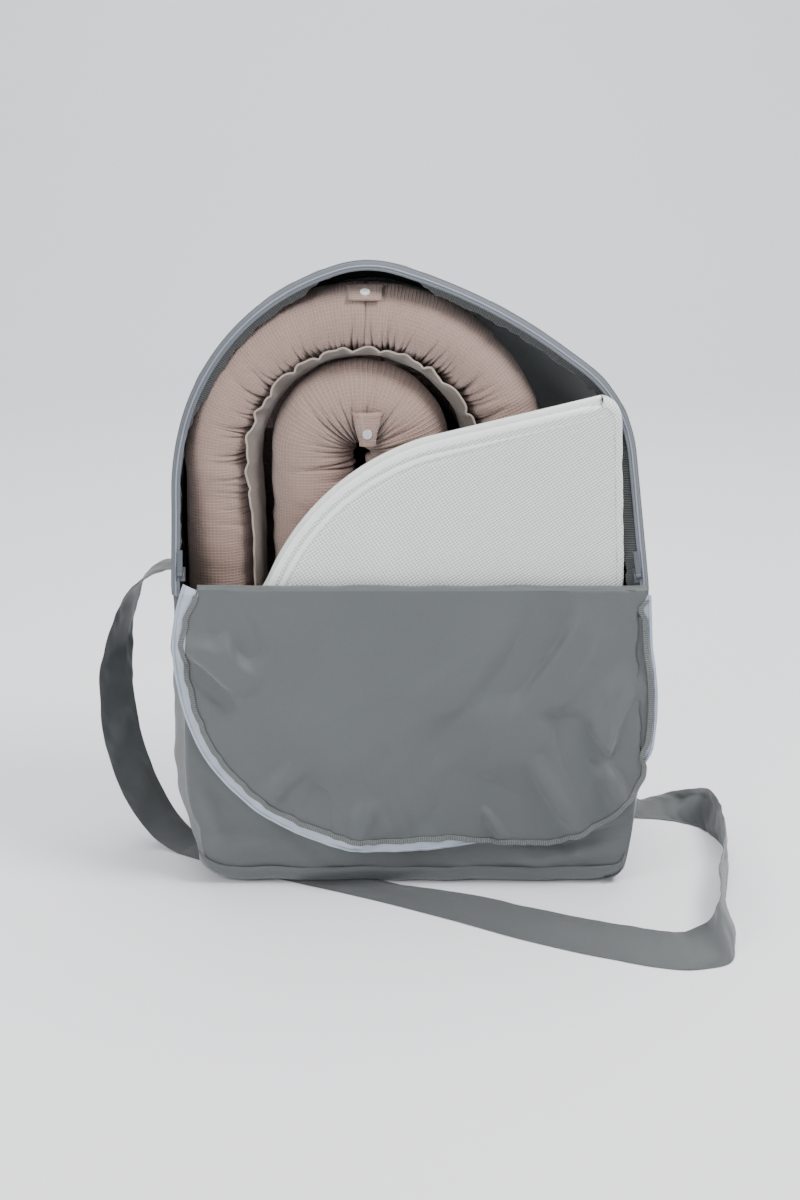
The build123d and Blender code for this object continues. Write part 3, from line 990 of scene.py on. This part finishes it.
class NEST_OT_zip(bpy.types.Operator):
    """Build both halves of the zip: tape, coil and the overlocked seam beside them"""

    bl_idname = "nest.zip"
    bl_label = "Zip"

    def execute(self, context):
        tape, teeth, lock = tape_cloth(), coil_plastic(), overlock()
        shaded_tape = paint_once("shaded_tape_cloth", tape_paint, shade(tuple(colours().tape), 0.27))
        shaded_teeth = paint_once("shaded_coil", plastic_paint, shade(tuple(colours().tape), 0.6), 0.4)
        # Painted shade: the body's seam allowance is the bag cloth darkened to three quarters, with darker
        # thread gaps still, as the shade it lies in inside the bag under the zip.
        dark = shade(tuple(colours().bag), 0.75)
        shaded_lock = paint_once("dark_overlock", stitch_paint, dark, shade(dark, 0.35), 2.2)
        wide = sizes().tape_width / MM
        reach = (S_LEFT - 7, S_RIGHT + 7)
        length = reach[1] - reach[0]
        ribbon(
            "zip_tape_body", reach, body_zip(7.5, 7.0), body_zip(-0.3, 1.0), 520, wide,
            shaded_tape, "bag", ("zip_tape_body",),
        )
        thread(
            "zip_teeth_body", reach, body_zip(3.6, 5.0), 2400, coil(0.6, 0.4, length / 2.0),
            shaded_teeth, "bag", "zip_teeth", ("zip_teeth_body",),
        )
        thread(
            "body_edge_piping", reach, body_zip(-0.6, 0.2), 700, 1.1, bag_cloth(), "bag", "bag_fabric",
        )

        def ragged(base, amount, seed):
            return lambda s: base + amount * wander(s, seed, 34)

        def allowance(s):
            """The seam's free edge stands up on the left shoulder and along the right slope."""
            x, z = BAG.at(s)
            left = smooth(470, 520, z) * (1 - smooth(-120, -80, x))
            right = smooth(0, 40, x) + 0.7 * smooth(200, 225, x)
            return 7.5 + 7.5 * np.maximum(left, right) + 1.3 * wander(s, 61, 34)

        ribbon(
            "body_seam_allowance", reach, body_zip(allowance, 1.0), body_zip(6.8, 5.6),
            700, 9, shaded_lock, "bag",
        )
        flap_reach = (0.5, FLAP.length - 7.0)
        lock_reach = (5.0, FLAP.length - 12.0)

        def aside(inset):
            return lambda s: inset + 5.5 * tucked(s)

        def tape_inner(s):
            """The tape turns edge-on behind the pocket on the right."""
            end = 1 - smooth(FLAP.length - 24, FLAP.length - 6, s)
            full = (wide + 2.5) * (0.3 + 0.7 * end) + 3.5 * (1 - smooth(3, 40, s))
            return full + 5.5 * tucked(s) - 7.5 * in_pocket(s)

        def under(lift):
            return lambda s: lift - 4.5 * tucked(s)

        ribbon(
            "zip_tape_flap", flap_reach, flap_line(tape_inner, under(0.2)),
            flap_line(aside(0.0), under(0.2)), 520, wide, tape, "flap", ("zip_tape_flap",),
        )
        thread(
            "zip_teeth_flap", flap_reach, flap_line(aside(2.2), under(1.0)), 2000,
            coil(0.6, 0.4, FLAP.length / 2.0), teeth, "flap", "zip_teeth", ("zip_teeth_flap",),
        )
        ribbon(
            "flap_edge_facing", (30.0, FLAP.length - 30.0),
            flap_line(lambda s: panel_inset(s) + 9, -2.6),
            flap_line(lambda s: 5.0 + 3 * tucked(s), under(-1.0)),
            420, 20, bag_cloth(), "flap",
        )
        ribbon(
            "flap_seam_binding", lock_reach, flap_line(lambda s: lock_inset(s) + 3.6, 1.4),
            flap_line(lambda s: lock_inset(s) - 1.6, ragged(2.2, 0.9, 64)), 700, 5.5, lock, "flap",
            ("flap_seam_binding",), 0.9,
        )
        return {"FINISHED"}


# ---------------------------------------------------------------- the padded ring


def ring_path(side):
    """The tube's middle line from the head seam, down one side and up to the foot seam."""
    if side < 0:
        path = Path((-44, 577)).arc((-151, 534), (-192, 428)).line((-191, 96))
        path.arc((-144, 49), (-97, 96)).line((-97, 446)).arc((-78.9, 483), (-37.2, 491.2))
    else:
        path = Path((-44, 577)).arc((61, 534), (104, 428)).line((103, 96))
        path.arc((50, 43), (-3, 96)).line((-3, 446)).arc((-13.1, 475.1), (-40.8, 492.1))
    return path.done(smooth=6)


OUTER_ARC = 231.0
LEG = 332.0
INNER_LEG = 347.0
INNER_ARC = {-1: 87.0, 1: 66.0}
# The tube's half sizes at the head seam, the leg's top, the bend, the way up, the inner arch and its seam.
TUBE_HALF_WIDTH = (34, 33.5, 37, 38, 42.5, 42.5)
TUBE_HALF_DEPTH = (44, 44, 43, 43, 43, 43)
SQUARENESS = 2.35
GATHER_GAP = 7.5


def gather_places(seed, start, end, gap):
    """Uneven places of the gathers between start and end."""
    rng = np.random.default_rng(seed)
    places = []
    s = start
    while s < end:
        places.append((s, 0.45 + 0.85 * rng.random(), 0.9 + 1.3 * rng.random()))
        s += gap * (0.6 + 0.8 * rng.random())
    return places


def ring_half(side, seed, shrink=0.0):
    path = ring_path(side)
    total = path.length
    s_leg = OUTER_ARC
    s_bend = s_leg + LEG
    s_inner = total - INNER_ARC[side]
    s_up = s_inner - INNER_LEG
    outer_gathers = gather_places(seed, 6, s_leg + 60, GATHER_GAP)
    inner_gathers = gather_places(seed + 1, s_inner - 26, total - 3, GATHER_GAP)
    depth = sizes().gather_depth / MM

    def shape(u, v):
        s = u * total
        x, z = path.at(s)
        rx, rz = path.right(s)
        knots = [0, s_leg, s_bend, s_up, s_inner, total]
        a = np.interp(s, knots, TUBE_HALF_WIDTH) - shrink
        b = np.interp(s, knots, TUBE_HALF_DEPTH) - shrink
        angle = 2 * math.pi * v
        c, d = np.cos(angle), np.sin(angle)
        on_inner = smooth(s_inner - 60, s_inner - 10, s)
        inner_side = c * side * (1 - 2 * on_inner)
        r = 1 / (np.abs(c / a) ** SQUARENESS + np.abs(d / b) ** SQUARENESS) ** (1 / SQUARENESS)
        if shrink == 0:
            for place, strength, width in outer_gathers:
                reach = 0.55 - 0.75 * strength
                grip = smooth(reach, 0.75, inner_side) * (1 - 0.45 * smooth(0.75, 1, inner_side))
                fan = np.exp(-np.abs(s - place - 3 * np.sin(2 * inner_side + place)) / width)
                fade = 1 - 0.75 * smooth(s_leg - 40, s_leg + 70, s)
                r = r - depth * strength * fan * grip * fade * (1 - on_inner)
            for place, strength, width in inner_gathers:
                grip_in = smooth(0.2 - 0.85 * strength, 0.9, inner_side)
                fan = np.exp(-np.abs(s - place - 2 * np.sin(2 * angle + place)) / (width * 0.9))
                r = r - depth * 1.3 * strength * fan * grip_in * on_inner
            r = r - 1.6 * np.exp(-s / 1.5) - 0.8 * np.exp(-(total - s) / 1.2)
            r = r + wander(s + 60 * v, seed + 3, 75) * 0.9
            r = r + wander(s * 0.3 + 260 * v, seed + 4, 120) * 0.7
            ring_wave = np.sin(2 * math.pi * s / 26 + 2 * np.sin(angle))
            r = r + 0.56 * ring_wave * smooth(0.1, 0.9, inner_side)
        px = x + rx * c * r
        pz = z + rz * c * r
        return px, d * r, pz

    return shape, total


class NEST_OT_ring(bpy.types.Operator):
    """Build the two sewn halves of the ring's cover and the filling inside"""

    bl_idname = "nest.ring"
    bl_label = "Padded ring"

    def execute(self, context):
        cloth = waffle()
        filler = paint_once("filling_fibre", fibre_paint, (0.8, 0.8, 0.78, 1))
        for side, name in ((-1, "bumper_cover_left"), (1, "bumper_cover_right")):
            shape, total = ring_half(side, 71 + side)
            arches = OUTER_ARC / total, 1 - INNER_ARC[side] / total

            def crowd(u, arches=arches):
                """More of the grid's lines go to the gathered arches than to the straight legs."""
                marks = [0, 0.36, 0.72, 1]
                return np.interp(u, marks, [0, arches[0] + 0.06, arches[1] - 0.02, 1])

            bm = sheet_mesh(1100, 110, shape, close_v=True, caps=True, size=(total, 255), spread=crowd)
            bmesh.ops.recalc_face_normals(bm, faces=bm.faces)
            piece = finish_piece(new_object(name, bm, cloth), "bag", (name,))
        filling = bmesh.new()
        for side in (-1, 1):
            shape, total = ring_half(side, 71 + side, shrink=10.0)
            half = sheet_mesh(200, 24, shape, close_v=True, caps=True, size=(total, 200))
            bmesh.ops.recalc_face_normals(half, faces=half.faces)
            scrap = bpy.data.meshes.new("scrap")
            half.to_mesh(scrap)
            half.free()
            filling.from_mesh(scrap)
            bpy.data.meshes.remove(scrap)
        piece = new_object("bumper_filling", filling, filler)
        finish_piece(piece, "bag", ("bumper_filling",))
        return {"FINISHED"}


# ---------------------------------------------------------------- the floor sheet


def floor_path():
    path = Path((-149, 124)).line((-149, 436)).arc((-119.1, 508.1), (-47, 538))
    return path.arc((25.1, 508.1), (55, 436)).line((55, 124)).done(smooth=4)


FLOOR = floor_path()
HEM_Y = -39.0
FLOOR_DEPTH = 76.0


def floor_line(s, depth):
    """A point of the floor sheet: it runs from its gathered front hem back behind the inner arch."""
    x, z = FLOOR.at(s)
    rx, rz = FLOOR.right(s)
    back = np.clip((depth - HEM_Y) / FLOOR_DEPTH, 0, 1)
    front = 1 - smooth(0.0, 0.4, back)
    arch = smooth(250, 330, s) * (1 - smooth(600, 680, s))
    scallop = np.abs(np.sin(math.pi * (s + 8 * wander(s, 81, 60)) / 29))
    wave = (5.0 * scallop - 3.2) * arch + 1.4 * wander(s, 83, 110) * (1 - arch)
    out = 8.0 + 7.0 * arch - (17.5 + 7.0 * arch) * back**0.8 + wave * front
    out = out + 0.8 * wander(s + depth, 82, 70) * (1 - front)
    return x - rx * out, depth + 1.5 * wander(s, 84, 60) * front, z - rz * out


class NEST_OT_floor(bpy.types.Operator):
    """Build the nest's fabric floor, folded up between the two arches"""

    bl_idname = "nest.floor"
    bl_label = "Fabric floor"

    def execute(self, context):
        cloth = paint_once("floor_cotton", cloth_paint, tuple(colours().floor), 0.6, 0.8, 0.25)
        # Painted highlight: the hem's rolled edge uses the floor cotton at twice its brightness, as light
        # catching the edge.
        pale = shade(tuple(colours().floor), 2.0)
        lit_hem_cloth = paint_once("hem_cotton", cloth_paint, pale, 0.6, 0.8, 0.25)

        def shape(u, v):
            return floor_line(u * FLOOR.length, HEM_Y + FLOOR_DEPTH * v)

        bm = sheet_mesh(520, 30, shape, size=(FLOOR.length, 78))
        piece = new_object("floor_sheet", bm, cloth)
        finish_piece(piece, "bag", ("floor_sheet",))
        thicken(piece, 1.2)

        def hem(u):
            return np.array(floor_line(u * FLOOR.length, np.full_like(u, HEM_Y - 0.5)))

        bm = cord_mesh(620, 8, hem, 1.1, size=(FLOOR.length, 7))
        rim = finish_piece(new_object("floor_hem", bm, lit_hem_cloth), "bag")
        return {"FINISHED"}


# ---------------------------------------------------------------- the mattress

MATTRESS_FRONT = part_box("mattress_front_layer")[0][1] / MM
MATTRESS_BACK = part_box("mattress_back_layer")[1][1] / MM


def mattress_path():
    """Half an oval, from the top of the fold, round the free edge, to the fold's foot and back up."""
    path = Path((186, 508)).line((14, 466)).arc((-82, 409), (-141, 322)).arc((-163, 250), (-141, 178))
    path.arc((-84, 91), (14, 34)).line((150, 11)).arc((190, 22), (206, 62)).line((209, 330))
    return path.line((202, 484)).arc((199, 501), (186, 508)).done(smooth=10)


MATTRESS = mattress_path()
FREE_EDGE = 1010.0


def soft_inward(path, reach):
    """The inward directions along a closed outline, averaged so that offsets don't cross at corners."""
    steps = np.arange(0, path.length, 2.0)
    rx, rz = path.right(steps)
    away = np.minimum(steps, path.length - steps)
    kernel = np.exp(-((away / reach) ** 2))
    kernel /= kernel.sum()
    mean = [np.real(np.fft.ifft(np.fft.fft(-part) * np.fft.fft(kernel))) for part in (rx, rz)]
    return steps, mean


MATTRESS_INWARD = soft_inward(MATTRESS, 36.0)
WELT_REACH = 21.0


def mattress_layer(front, back, outset, phase):
    """A soft slab: v runs from the middle of the front face, over the edge, to the middle behind."""
    centre = (70.0, 260.0)
    half = (back - front) / 2
    middle = (back + front) / 2

    def shape(u, v):
        s = u * MATTRESS.length
        x, z = MATTRESS.at(s)
        nx, nz = MATTRESS.right(s)
        sign = np.where(v < 0.5, -1.0, 1.0)
        free = smooth(60, 200, s) * (1 - smooth(FREE_EDGE - 60, FREE_EDGE, s))
        rim = np.clip(1 - np.abs(2 * v - 1), 0, 1)
        inset = (1 - np.sqrt(np.clip(1 - (1 - rim / 0.12) ** 2, 0, 1))) * half * 0.9
        inset = np.where(rim < 0.12, inset, 0)
        near = np.clip((rim - 0.30) / 0.70, 0, 1)
        d = np.where(rim < 0.30, WELT_REACH * (rim / 0.30), WELT_REACH)
        steps, (mean_x, mean_z) = MATTRESS_INWARD
        join = 1 - smooth(0, 16, np.minimum(s, MATTRESS.length - s))
        share = np.maximum(smooth(3, 16, d), join)
        whole = MATTRESS.length
        ix = np.interp(s, steps, mean_x, period=whole) * share - nx * (1 - share)
        iz = np.interp(s, steps, mean_z, period=whole) * share - nz * (1 - share)
        px = x + ix * (d + inset - outset)
        pz = z + iz * (d + inset - outset)
        px = px + (centre[0] - px) * near
        pz = pz + (centre[1] - pz) * near
        thick = half * np.sqrt(np.clip(1 - (1 - np.clip(d / 4.5, 0, 1)) ** 2, 0, 1))
        groove = 1.5 * bump(d, 9.5, 1.0) + 0.9 * bump(d, 12.0, 0.8) + 1.7 * bump(d, 17.5, 1.3)
        soft = wander(px + 0.5 * pz, 91 + phase, 160) * 0.8 * smooth(0, 0.3, near)
        deep = np.clip(thick - groove * free, 0.2, None) + np.minimum(soft, 0.0)
        return px, middle + sign * deep, pz

    return shape


class NEST_OT_mattress(bpy.types.Operator):
    """Build the mattress folded in half: two mesh layers, their bound edges and the fold"""

    bl_idname = "nest.mattress"
    bl_label = "Mattress"

    def execute(self, context):
        mesh_cloth = paint_once("spacer_mesh", mesh_paint, tuple(colours().mesh), sizes().mesh_pitch / MM)
        binding = paint_once("binding_cloth", cloth_paint, tuple(colours().binding), 0.7, 0.7, 0.2, 0.04)
        half = (MATTRESS_FRONT + MATTRESS_BACK) / 2
        layers = (
            ("mattress_front_layer", MATTRESS_FRONT - 0.5, half - 0.3, 0.0, 0),
            ("mattress_back_layer", half + 0.3, MATTRESS_BACK, 1.5, 1),
        )
        for name, front, back, outset, phase in layers:
            shape = mattress_layer(front, back, outset, phase)
            bm = sheet_mesh(620, 90, shape, close_u=True, size=(MATTRESS.length, 200))
            bmesh.ops.remove_doubles(bm, verts=bm.verts, dist=2e-5)
            bmesh.ops.recalc_face_normals(bm, faces=bm.faces)
            piece = finish_piece(new_object(name, bm, mesh_cloth), "mattress", (name,))

        def bound(depth, y):
            def line(u):
                s = u * (FREE_EDGE - 4)
                x, z = MATTRESS.at(s)
                nx, nz = MATTRESS.right(s)
                return np.array([x - nx * depth, np.full_like(u, y), z - nz * depth])

            return line

        def welt(name, centre_y, depth, half_w, half_t, replaced):
            def across(u):
                s = u * (FREE_EDGE - 4)
                nx, nz = MATTRESS.right(s)
                return np.array([nx, np.zeros_like(u), nz])

            bm = band_mesh(460, 16, bound(depth, centre_y), across, half_w, half_t, (FREE_EDGE, 24))
            bmesh.ops.recalc_face_normals(bm, faces=bm.faces)
            return finish_piece(new_object(name, bm, binding), "mattress", replaced)

        def outer_reach(u):
            return 2.6 * smooth(0.0, 0.02, u) + 0.4 + 1.6 * smooth(0.0, 0.15, u)

        def outer_depth(u):
            return 0.6 + 3.0 * smooth(0.0, 0.03, u)

        def second_reach(u):
            return 0.3 + 2.6 * smooth(0.04, 0.2, u)

        replaced = ("mattress_front_border",)
        welt("mattress_front_border", MATTRESS_FRONT + 3.0, 3.4, outer_reach, outer_depth, replaced)
        welt("mattress_second_welt", MATTRESS_FRONT + 1.0, 12.5, second_reach, 1.9, ())

        def fold(u, v):
            s = FREE_EDGE + (MATTRESS.length - FREE_EDGE) * u
            x, z = MATTRESS.at(s)
            nx, nz = MATTRESS.right(s)
            across = np.abs(2 * v - 1)
            bow = 2.2 * (1 - across**2.4) - 5.0 * smooth(0.8, 1, across) + 0.5 * wander(s, 95, 60)
            y = MATTRESS_FRONT + 0.4 + (MATTRESS_BACK - MATTRESS_FRONT - 0.8) * v
            return x + nx * bow, y, z + nz * bow

        bm = sheet_mesh(200, 30, fold, size=(520, 34))
        piece = new_object("mattress_fold", bm, mesh_cloth)
        finish_piece(piece, "mattress", ("mattress_fold",))
        thicken(piece, 1.5, -1.0)
        welt("mattress_back_border", MATTRESS_BACK - 5.0, 1.5, 4.0, 4.0, ("mattress_back_border",))
        return {"FINISHED"}


# ---------------------------------------------------------------- tabs, snaps and the strap


class NEST_OT_tabs(bpy.types.Operator):
    """Build the two snap tabs"""

    bl_idname = "nest.tabs"
    bl_label = "Snap tabs"

    def execute(self, context):
        cloth = waffle()
        for name, width, depth in (("head_tab", 34, 26), ("foot_tab", 26, 32)):
            low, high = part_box(name)
            low = np.array(low) / MM
            high = np.array(high) / MM
            hang = name == "foot_tab"

            def shape(u, v, low=low, high=high, hang=hang):
                angle = 2 * math.pi * v
                wide = np.sign(np.cos(angle)) * np.abs(np.cos(angle)) ** 0.4
                deep = np.sin(angle)
                middle = (low + high) / 2
                half_w = (high[0] - low[0]) / 2
                taper = 1 - (0.36 if hang else 0.05) * smooth(0.05, 0.9, u)
                ears = 1 + (0.16 if hang else 0.08) * bump(u, 0.03, 0.06)
                x = middle[0] + wide * half_w * taper * ears
                if hang:
                    z = high[2] - (high[2] - low[2]) * u + 3.0 * bump(u, 0.0, 0.12) * np.abs(wide) ** 3
                    y = middle[1] + deep * (1.3 + 0.5 * bump(u, 0.03, 0.06)) + 2.5 * np.abs(wide) ** 3 * u
                    y = y - 1.0 * np.sin(math.pi * u) + 1.2 * bump(x, middle[0] - 6, 3) * u
                else:
                    y = high[1] - 0.5 - (high[1] - low[1] - 1.5) * u
                    z = high[2] - 1.6 - (high[2] - low[2] - 2.6) * u + deep * 1.3
                    z = z + 0.8 * np.sin(math.pi * u)
                return x, y, z

            bm = sheet_mesh(40, 48, shape, close_v=True, caps=True, size=(depth, 2 * width))
            bmesh.ops.recalc_face_normals(bm, faces=bm.faces)
            finish_piece(new_object(name, bm, cloth), name, (name,))
        return {"FINISHED"}


# The middle of the strap and the direction of its width, from the left anchor round to the right one.
STRAP_ROUTE = (
    ((-236, 66, 300), (0, 1, 0)),
    ((-258, 66, 300), (0, 1, 0)),
    ((-284, 61, 284), (0.2, 1, 0)),
    ((-303, 54, 243), (0.45, 0.9, 0)),
    ((-313, 47, 180), (0.7, 0.7, 0)),
    ((-308, 42, 115), (0.8, 0.6, 0)),
    ((-291, 36, 60), (0.8, 0.6, 0.1)),
    ((-266, 26, 20), (0.65, 0.75, 0.12)),
    ((-238, 10, 1.6), (0.6, 0.8, 0)),
    ((-205, -12, 0.85), (0.5, 0.87, 0)),
    ((-130, -52, 0.85), (0.42, 0.9, 0)),
    ((-70, -81, 0.85), (0.42, 0.9, 0)),
    ((-20, -107, 0.85), (0.42, 0.9, 0)),
    ((50, -148, 5.5), (0.45, 0.85, 0.2)),
    ((125, -195, 8), (0.45, 0.85, 0.32)),
    ((200, -232, 9.5), (0.35, 0.9, 0.38)),
    ((266, -254, 11.5), (0.12, 0.87, 0.46)),
    ((294, -251, 17), (-0.45, 0.45, 0.77)),
    ((306, -226, 22.7), (-0.42, 0.08, 0.9)),
    ((315, -140, 23), (-0.15, 0, 1)),
    ((332, -50, 23), (-0.1, 0, 1)),
    ((334, 20, 23), (-0.05, 0, 1)),
    ((322, 66, 20), (0.3, 0.3, 0.9)),
    ((293, 95, 9), (0.25, 0.85, 0.45)),
    ((256, 104, 3), (0.05, 1, 0.1)),
    ((228, 108, 22), (0.45, 0.75, 0.5)),
    ((215, 107, 62), (0.95, 0.2, 0.25)),
    ((212, 103, 120), (1, 0, 0)),
    ((211, 95, 200), (1, 0, 0)),
    ((211, 89, 282), (1, 0, 0)),
    ((211, 89, 308), (1, 0, 0)),
)


class SmoothLine:
    """A smooth curve through given points, read by the share of its length."""

    def __init__(self, points):
        points = np.array(points, float)
        self.knots = np.concatenate([[0], np.cumsum(np.linalg.norm(np.diff(points, axis=0), axis=1))])
        self.points = points
        self.slopes = np.gradient(points, self.knots, axis=0)
        self.length = self.knots[-1]

    def at(self, u):
        s = np.clip(np.asarray(u) * self.length, 0, self.length)
        i = np.clip(np.searchsorted(self.knots, s, side="right") - 1, 0, len(self.knots) - 2)
        h = self.knots[i + 1] - self.knots[i]
        t = (s - self.knots[i]) / h
        h00, h10 = 2 * t**3 - 3 * t**2 + 1, t**3 - 2 * t**2 + t
        h01, h11 = -2 * t**3 + 3 * t**2, t**3 - t**2
        return (
            self.points[i].T * h00
            + self.slopes[i].T * h10 * h
            + self.points[i + 1].T * h01
            + self.slopes[i + 1].T * h11 * h
        )


class NEST_OT_strap(bpy.types.Operator):
    """Build the shoulder strap and give the patches that sew it to the bag the strap's cloth"""

    bl_idname = "nest.strap"
    bl_label = "Shoulder strap"

    def execute(self, context):
        cloth = paint_once("strap_cloth", cloth_paint, tuple(colours().strap), 0.5, 0.55, 0.3)
        middle = SmoothLine([p for p, _ in STRAP_ROUTE])
        knots = middle.knots / middle.length
        widths = np.array([w for _, w in STRAP_ROUTE], float)

        def across(u):
            w = np.array([np.interp(u, knots, widths[:, k]) for k in range(3)])
            ahead = middle.at(np.clip(u + 1e-3, 0, 1)) - middle.at(np.clip(u - 1e-3, 0, 1))
            ahead /= np.linalg.norm(ahead, axis=0)
            w = w - ahead * np.sum(w * ahead, axis=0)
            return w / np.linalg.norm(w, axis=0)

        half_w = sizes().strap_width / MM / 2

        def ripple(u, wide):
            """Long soft fold lines and small dents in the strap's cloth, less where it lies flat."""
            s = u * middle.length
            free = 0.25 + 0.75 * smooth(0.1, 0.3, np.abs(u - 0.36))
            lines = 1.5 * np.exp(-(((wide - 0.25 + 0.3 * wander(s, 97, 300)) / 0.16) ** 2))
            dents = 1.3 * wander(s + 26 * wide, 98, 95) + 0.8 * wander(s - 40 * wide, 99, 50)
            return np.abs(lines) + dents * free

        bm = band_mesh(640, 56, middle.at, across, half_w, 0.8, (middle.length, 92), ripple)
        bmesh.ops.recalc_face_normals(bm, faces=bm.faces)
        piece = new_object("shoulder_strap", bm, cloth)
        finish_piece(piece, "bag", ("shoulder_strap",))
        for name in ("strap_anchor_left", "strap_anchor_right"):
            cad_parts[name].data.materials.clear()
            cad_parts[name].data.materials.append(cloth)
        return {"FINISHED"}


class NEST_OT_hardware(bpy.types.Operator):
    """Give the sliders, pulls and snaps their finishes"""

    bl_idname = "nest.hardware"
    bl_label = "Small hardware"

    def execute(self, context):
        metal = paint_once("plated_metal", metal_paint, tuple(colours().metal), 0.25)
        cap = paint_once("snap_cap_plastic", plastic_paint, (0.82, 0.86, 0.88, 1), 0.25)
        # Painted shade: the sliders and pulls are painted in the zip tape's colour, darkened to a fifth to
        # match the tape in shade.
        painted = paint_once("painted_metal", plastic_paint, shade(tuple(colours().tape), 0.2), 0.3)
        finishes = {
            "slider_left": painted,
            "slider_right": painted,
            "pull_left": painted,
            "pull_right": painted,
            "foot_snap": metal,
            "head_snap": cap,
        }
        for name, material in finishes.items():
            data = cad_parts[name].data
            data.materials.clear()
            data.materials.append(material)
        return {"FINISHED"}


# ---------------------------------------------------------------- stage

CAMERA_RISE = math.radians(18.0)
CAMERA_AWAY = 2.2
CAMERA_TARGET = (-0.010, 0.0, 0.282)
SWEEP_SIZE = 9000.0


class NEST_OT_stage(bpy.types.Operator):
    """Build the pale sweep, the soft lights and the camera"""

    bl_idname = "nest.stage"
    bl_label = "Studio"

    def execute(self, context):
        scene = context.scene
        paper = stage_paint("studio_paper", (0.84, 0.845, 0.865, 1))

        def sweep(u, v):
            run = v * SWEEP_SIZE - 4000
            back = 2300.0
            turn = 900.0
            angle = np.clip((run - back) / turn, 0, math.pi / 2)
            y = np.where(run < back, run, back + turn * np.sin(angle))
            z = np.where(run < back, 0, turn * (1 - np.cos(angle)))
            z = z + np.maximum(run - back - turn * math.pi / 2, 0)
            return (u - 0.5) * SWEEP_SIZE, y, z + FLOOR_Z / MM

        bm = sheet_mesh(4, 160, sweep, size=(SWEEP_SIZE, SWEEP_SIZE))
        floor = new_object("studio_sweep", bm, paper)

        lights = (
            ("key_light", (1.3, -0.7, 2.3), (0.0, 0.0, 0.25), 1.0, 66.0),
            ("fill_light", (-1.9, -1.9, 1.5), (0.0, 0.0, 0.3), 1.6, 46.0),
            ("top_light", (0.0, 0.9, 2.9), (0.0, 0.3, 0.2), 2.6, 84.0),
        )
        for name, place, aim, size, power in lights:
            data = bpy.data.lights.new(name, "AREA")
            data.shape = "DISK"
            data.size = size
            data.energy = power
            lamp = bpy.data.objects.new(name, data)
            lamp.location = place
            lamp.rotation_euler = (Vector(aim) - Vector(place)).to_track_quat("-Z", "Y").to_euler()
            scene.collection.objects.link(lamp)

        world = bpy.data.worlds.new("studio_air")
        world.use_nodes = True
        world.node_tree.nodes["Background"].inputs["Color"].default_value = (0.93, 0.95, 1.0, 1)
        world.node_tree.nodes["Background"].inputs["Strength"].default_value = 0.66
        scene.world = world

        camera_data = bpy.data.cameras.new("camera")
        camera_data.lens = 63.9
        camera_data.sensor_width = 36
        camera = bpy.data.objects.new("camera", camera_data)
        target = Vector(CAMERA_TARGET)
        away = Vector((0, -math.cos(CAMERA_RISE), math.sin(CAMERA_RISE))) * CAMERA_AWAY
        camera.location = target + away
        camera.rotation_euler = (-away).to_track_quat("-Z", "Y").to_euler()
        scene.collection.objects.link(camera)
        scene.camera = camera
        return {"FINISHED"}


OPERATORS = (
    NEST_OT_stage,
    NEST_OT_bag_shell,
    NEST_OT_front,
    NEST_OT_zip,
    NEST_OT_ring,
    NEST_OT_floor,
    NEST_OT_mattress,
    NEST_OT_tabs,
    NEST_OT_strap,
    NEST_OT_hardware,
)


class NEST_PT_panel(bpy.types.Panel):
    """Lists the nest's settings and the steps that build it"""

    bl_idname = "NEST_PT_panel"
    bl_label = "Packed nest"
    bl_space_type = "VIEW_3D"
    bl_region_type = "UI"
    bl_category = "Nest"

    def draw(self, context):
        for group in (context.scene.nest_colours, context.scene.nest_sizes):
            box = self.layout.box()
            for key in group.__annotations__:
                box.prop(group, key)
        for operator in OPERATORS:
            self.layout.operator(operator.bl_idname)


CLASSES = (NestColours, NestSizes) + OPERATORS + (NEST_PT_panel,)


def register():
    for item in CLASSES:
        bpy.utils.register_class(item)
    bpy.types.Scene.nest_colours = bpy.props.PointerProperty(type=NestColours)
    bpy.types.Scene.nest_sizes = bpy.props.PointerProperty(type=NestSizes)


def unregister():
    del bpy.types.Scene.nest_sizes
    del bpy.types.Scene.nest_colours
    for item in reversed(CLASSES):
        bpy.utils.unregister_class(item)


def main():
    register()
    for operator in OPERATORS:
        group, name = operator.bl_idname.split(".")
        getattr(getattr(bpy.ops, group), name)()


if __name__ == "__main__":
    main()
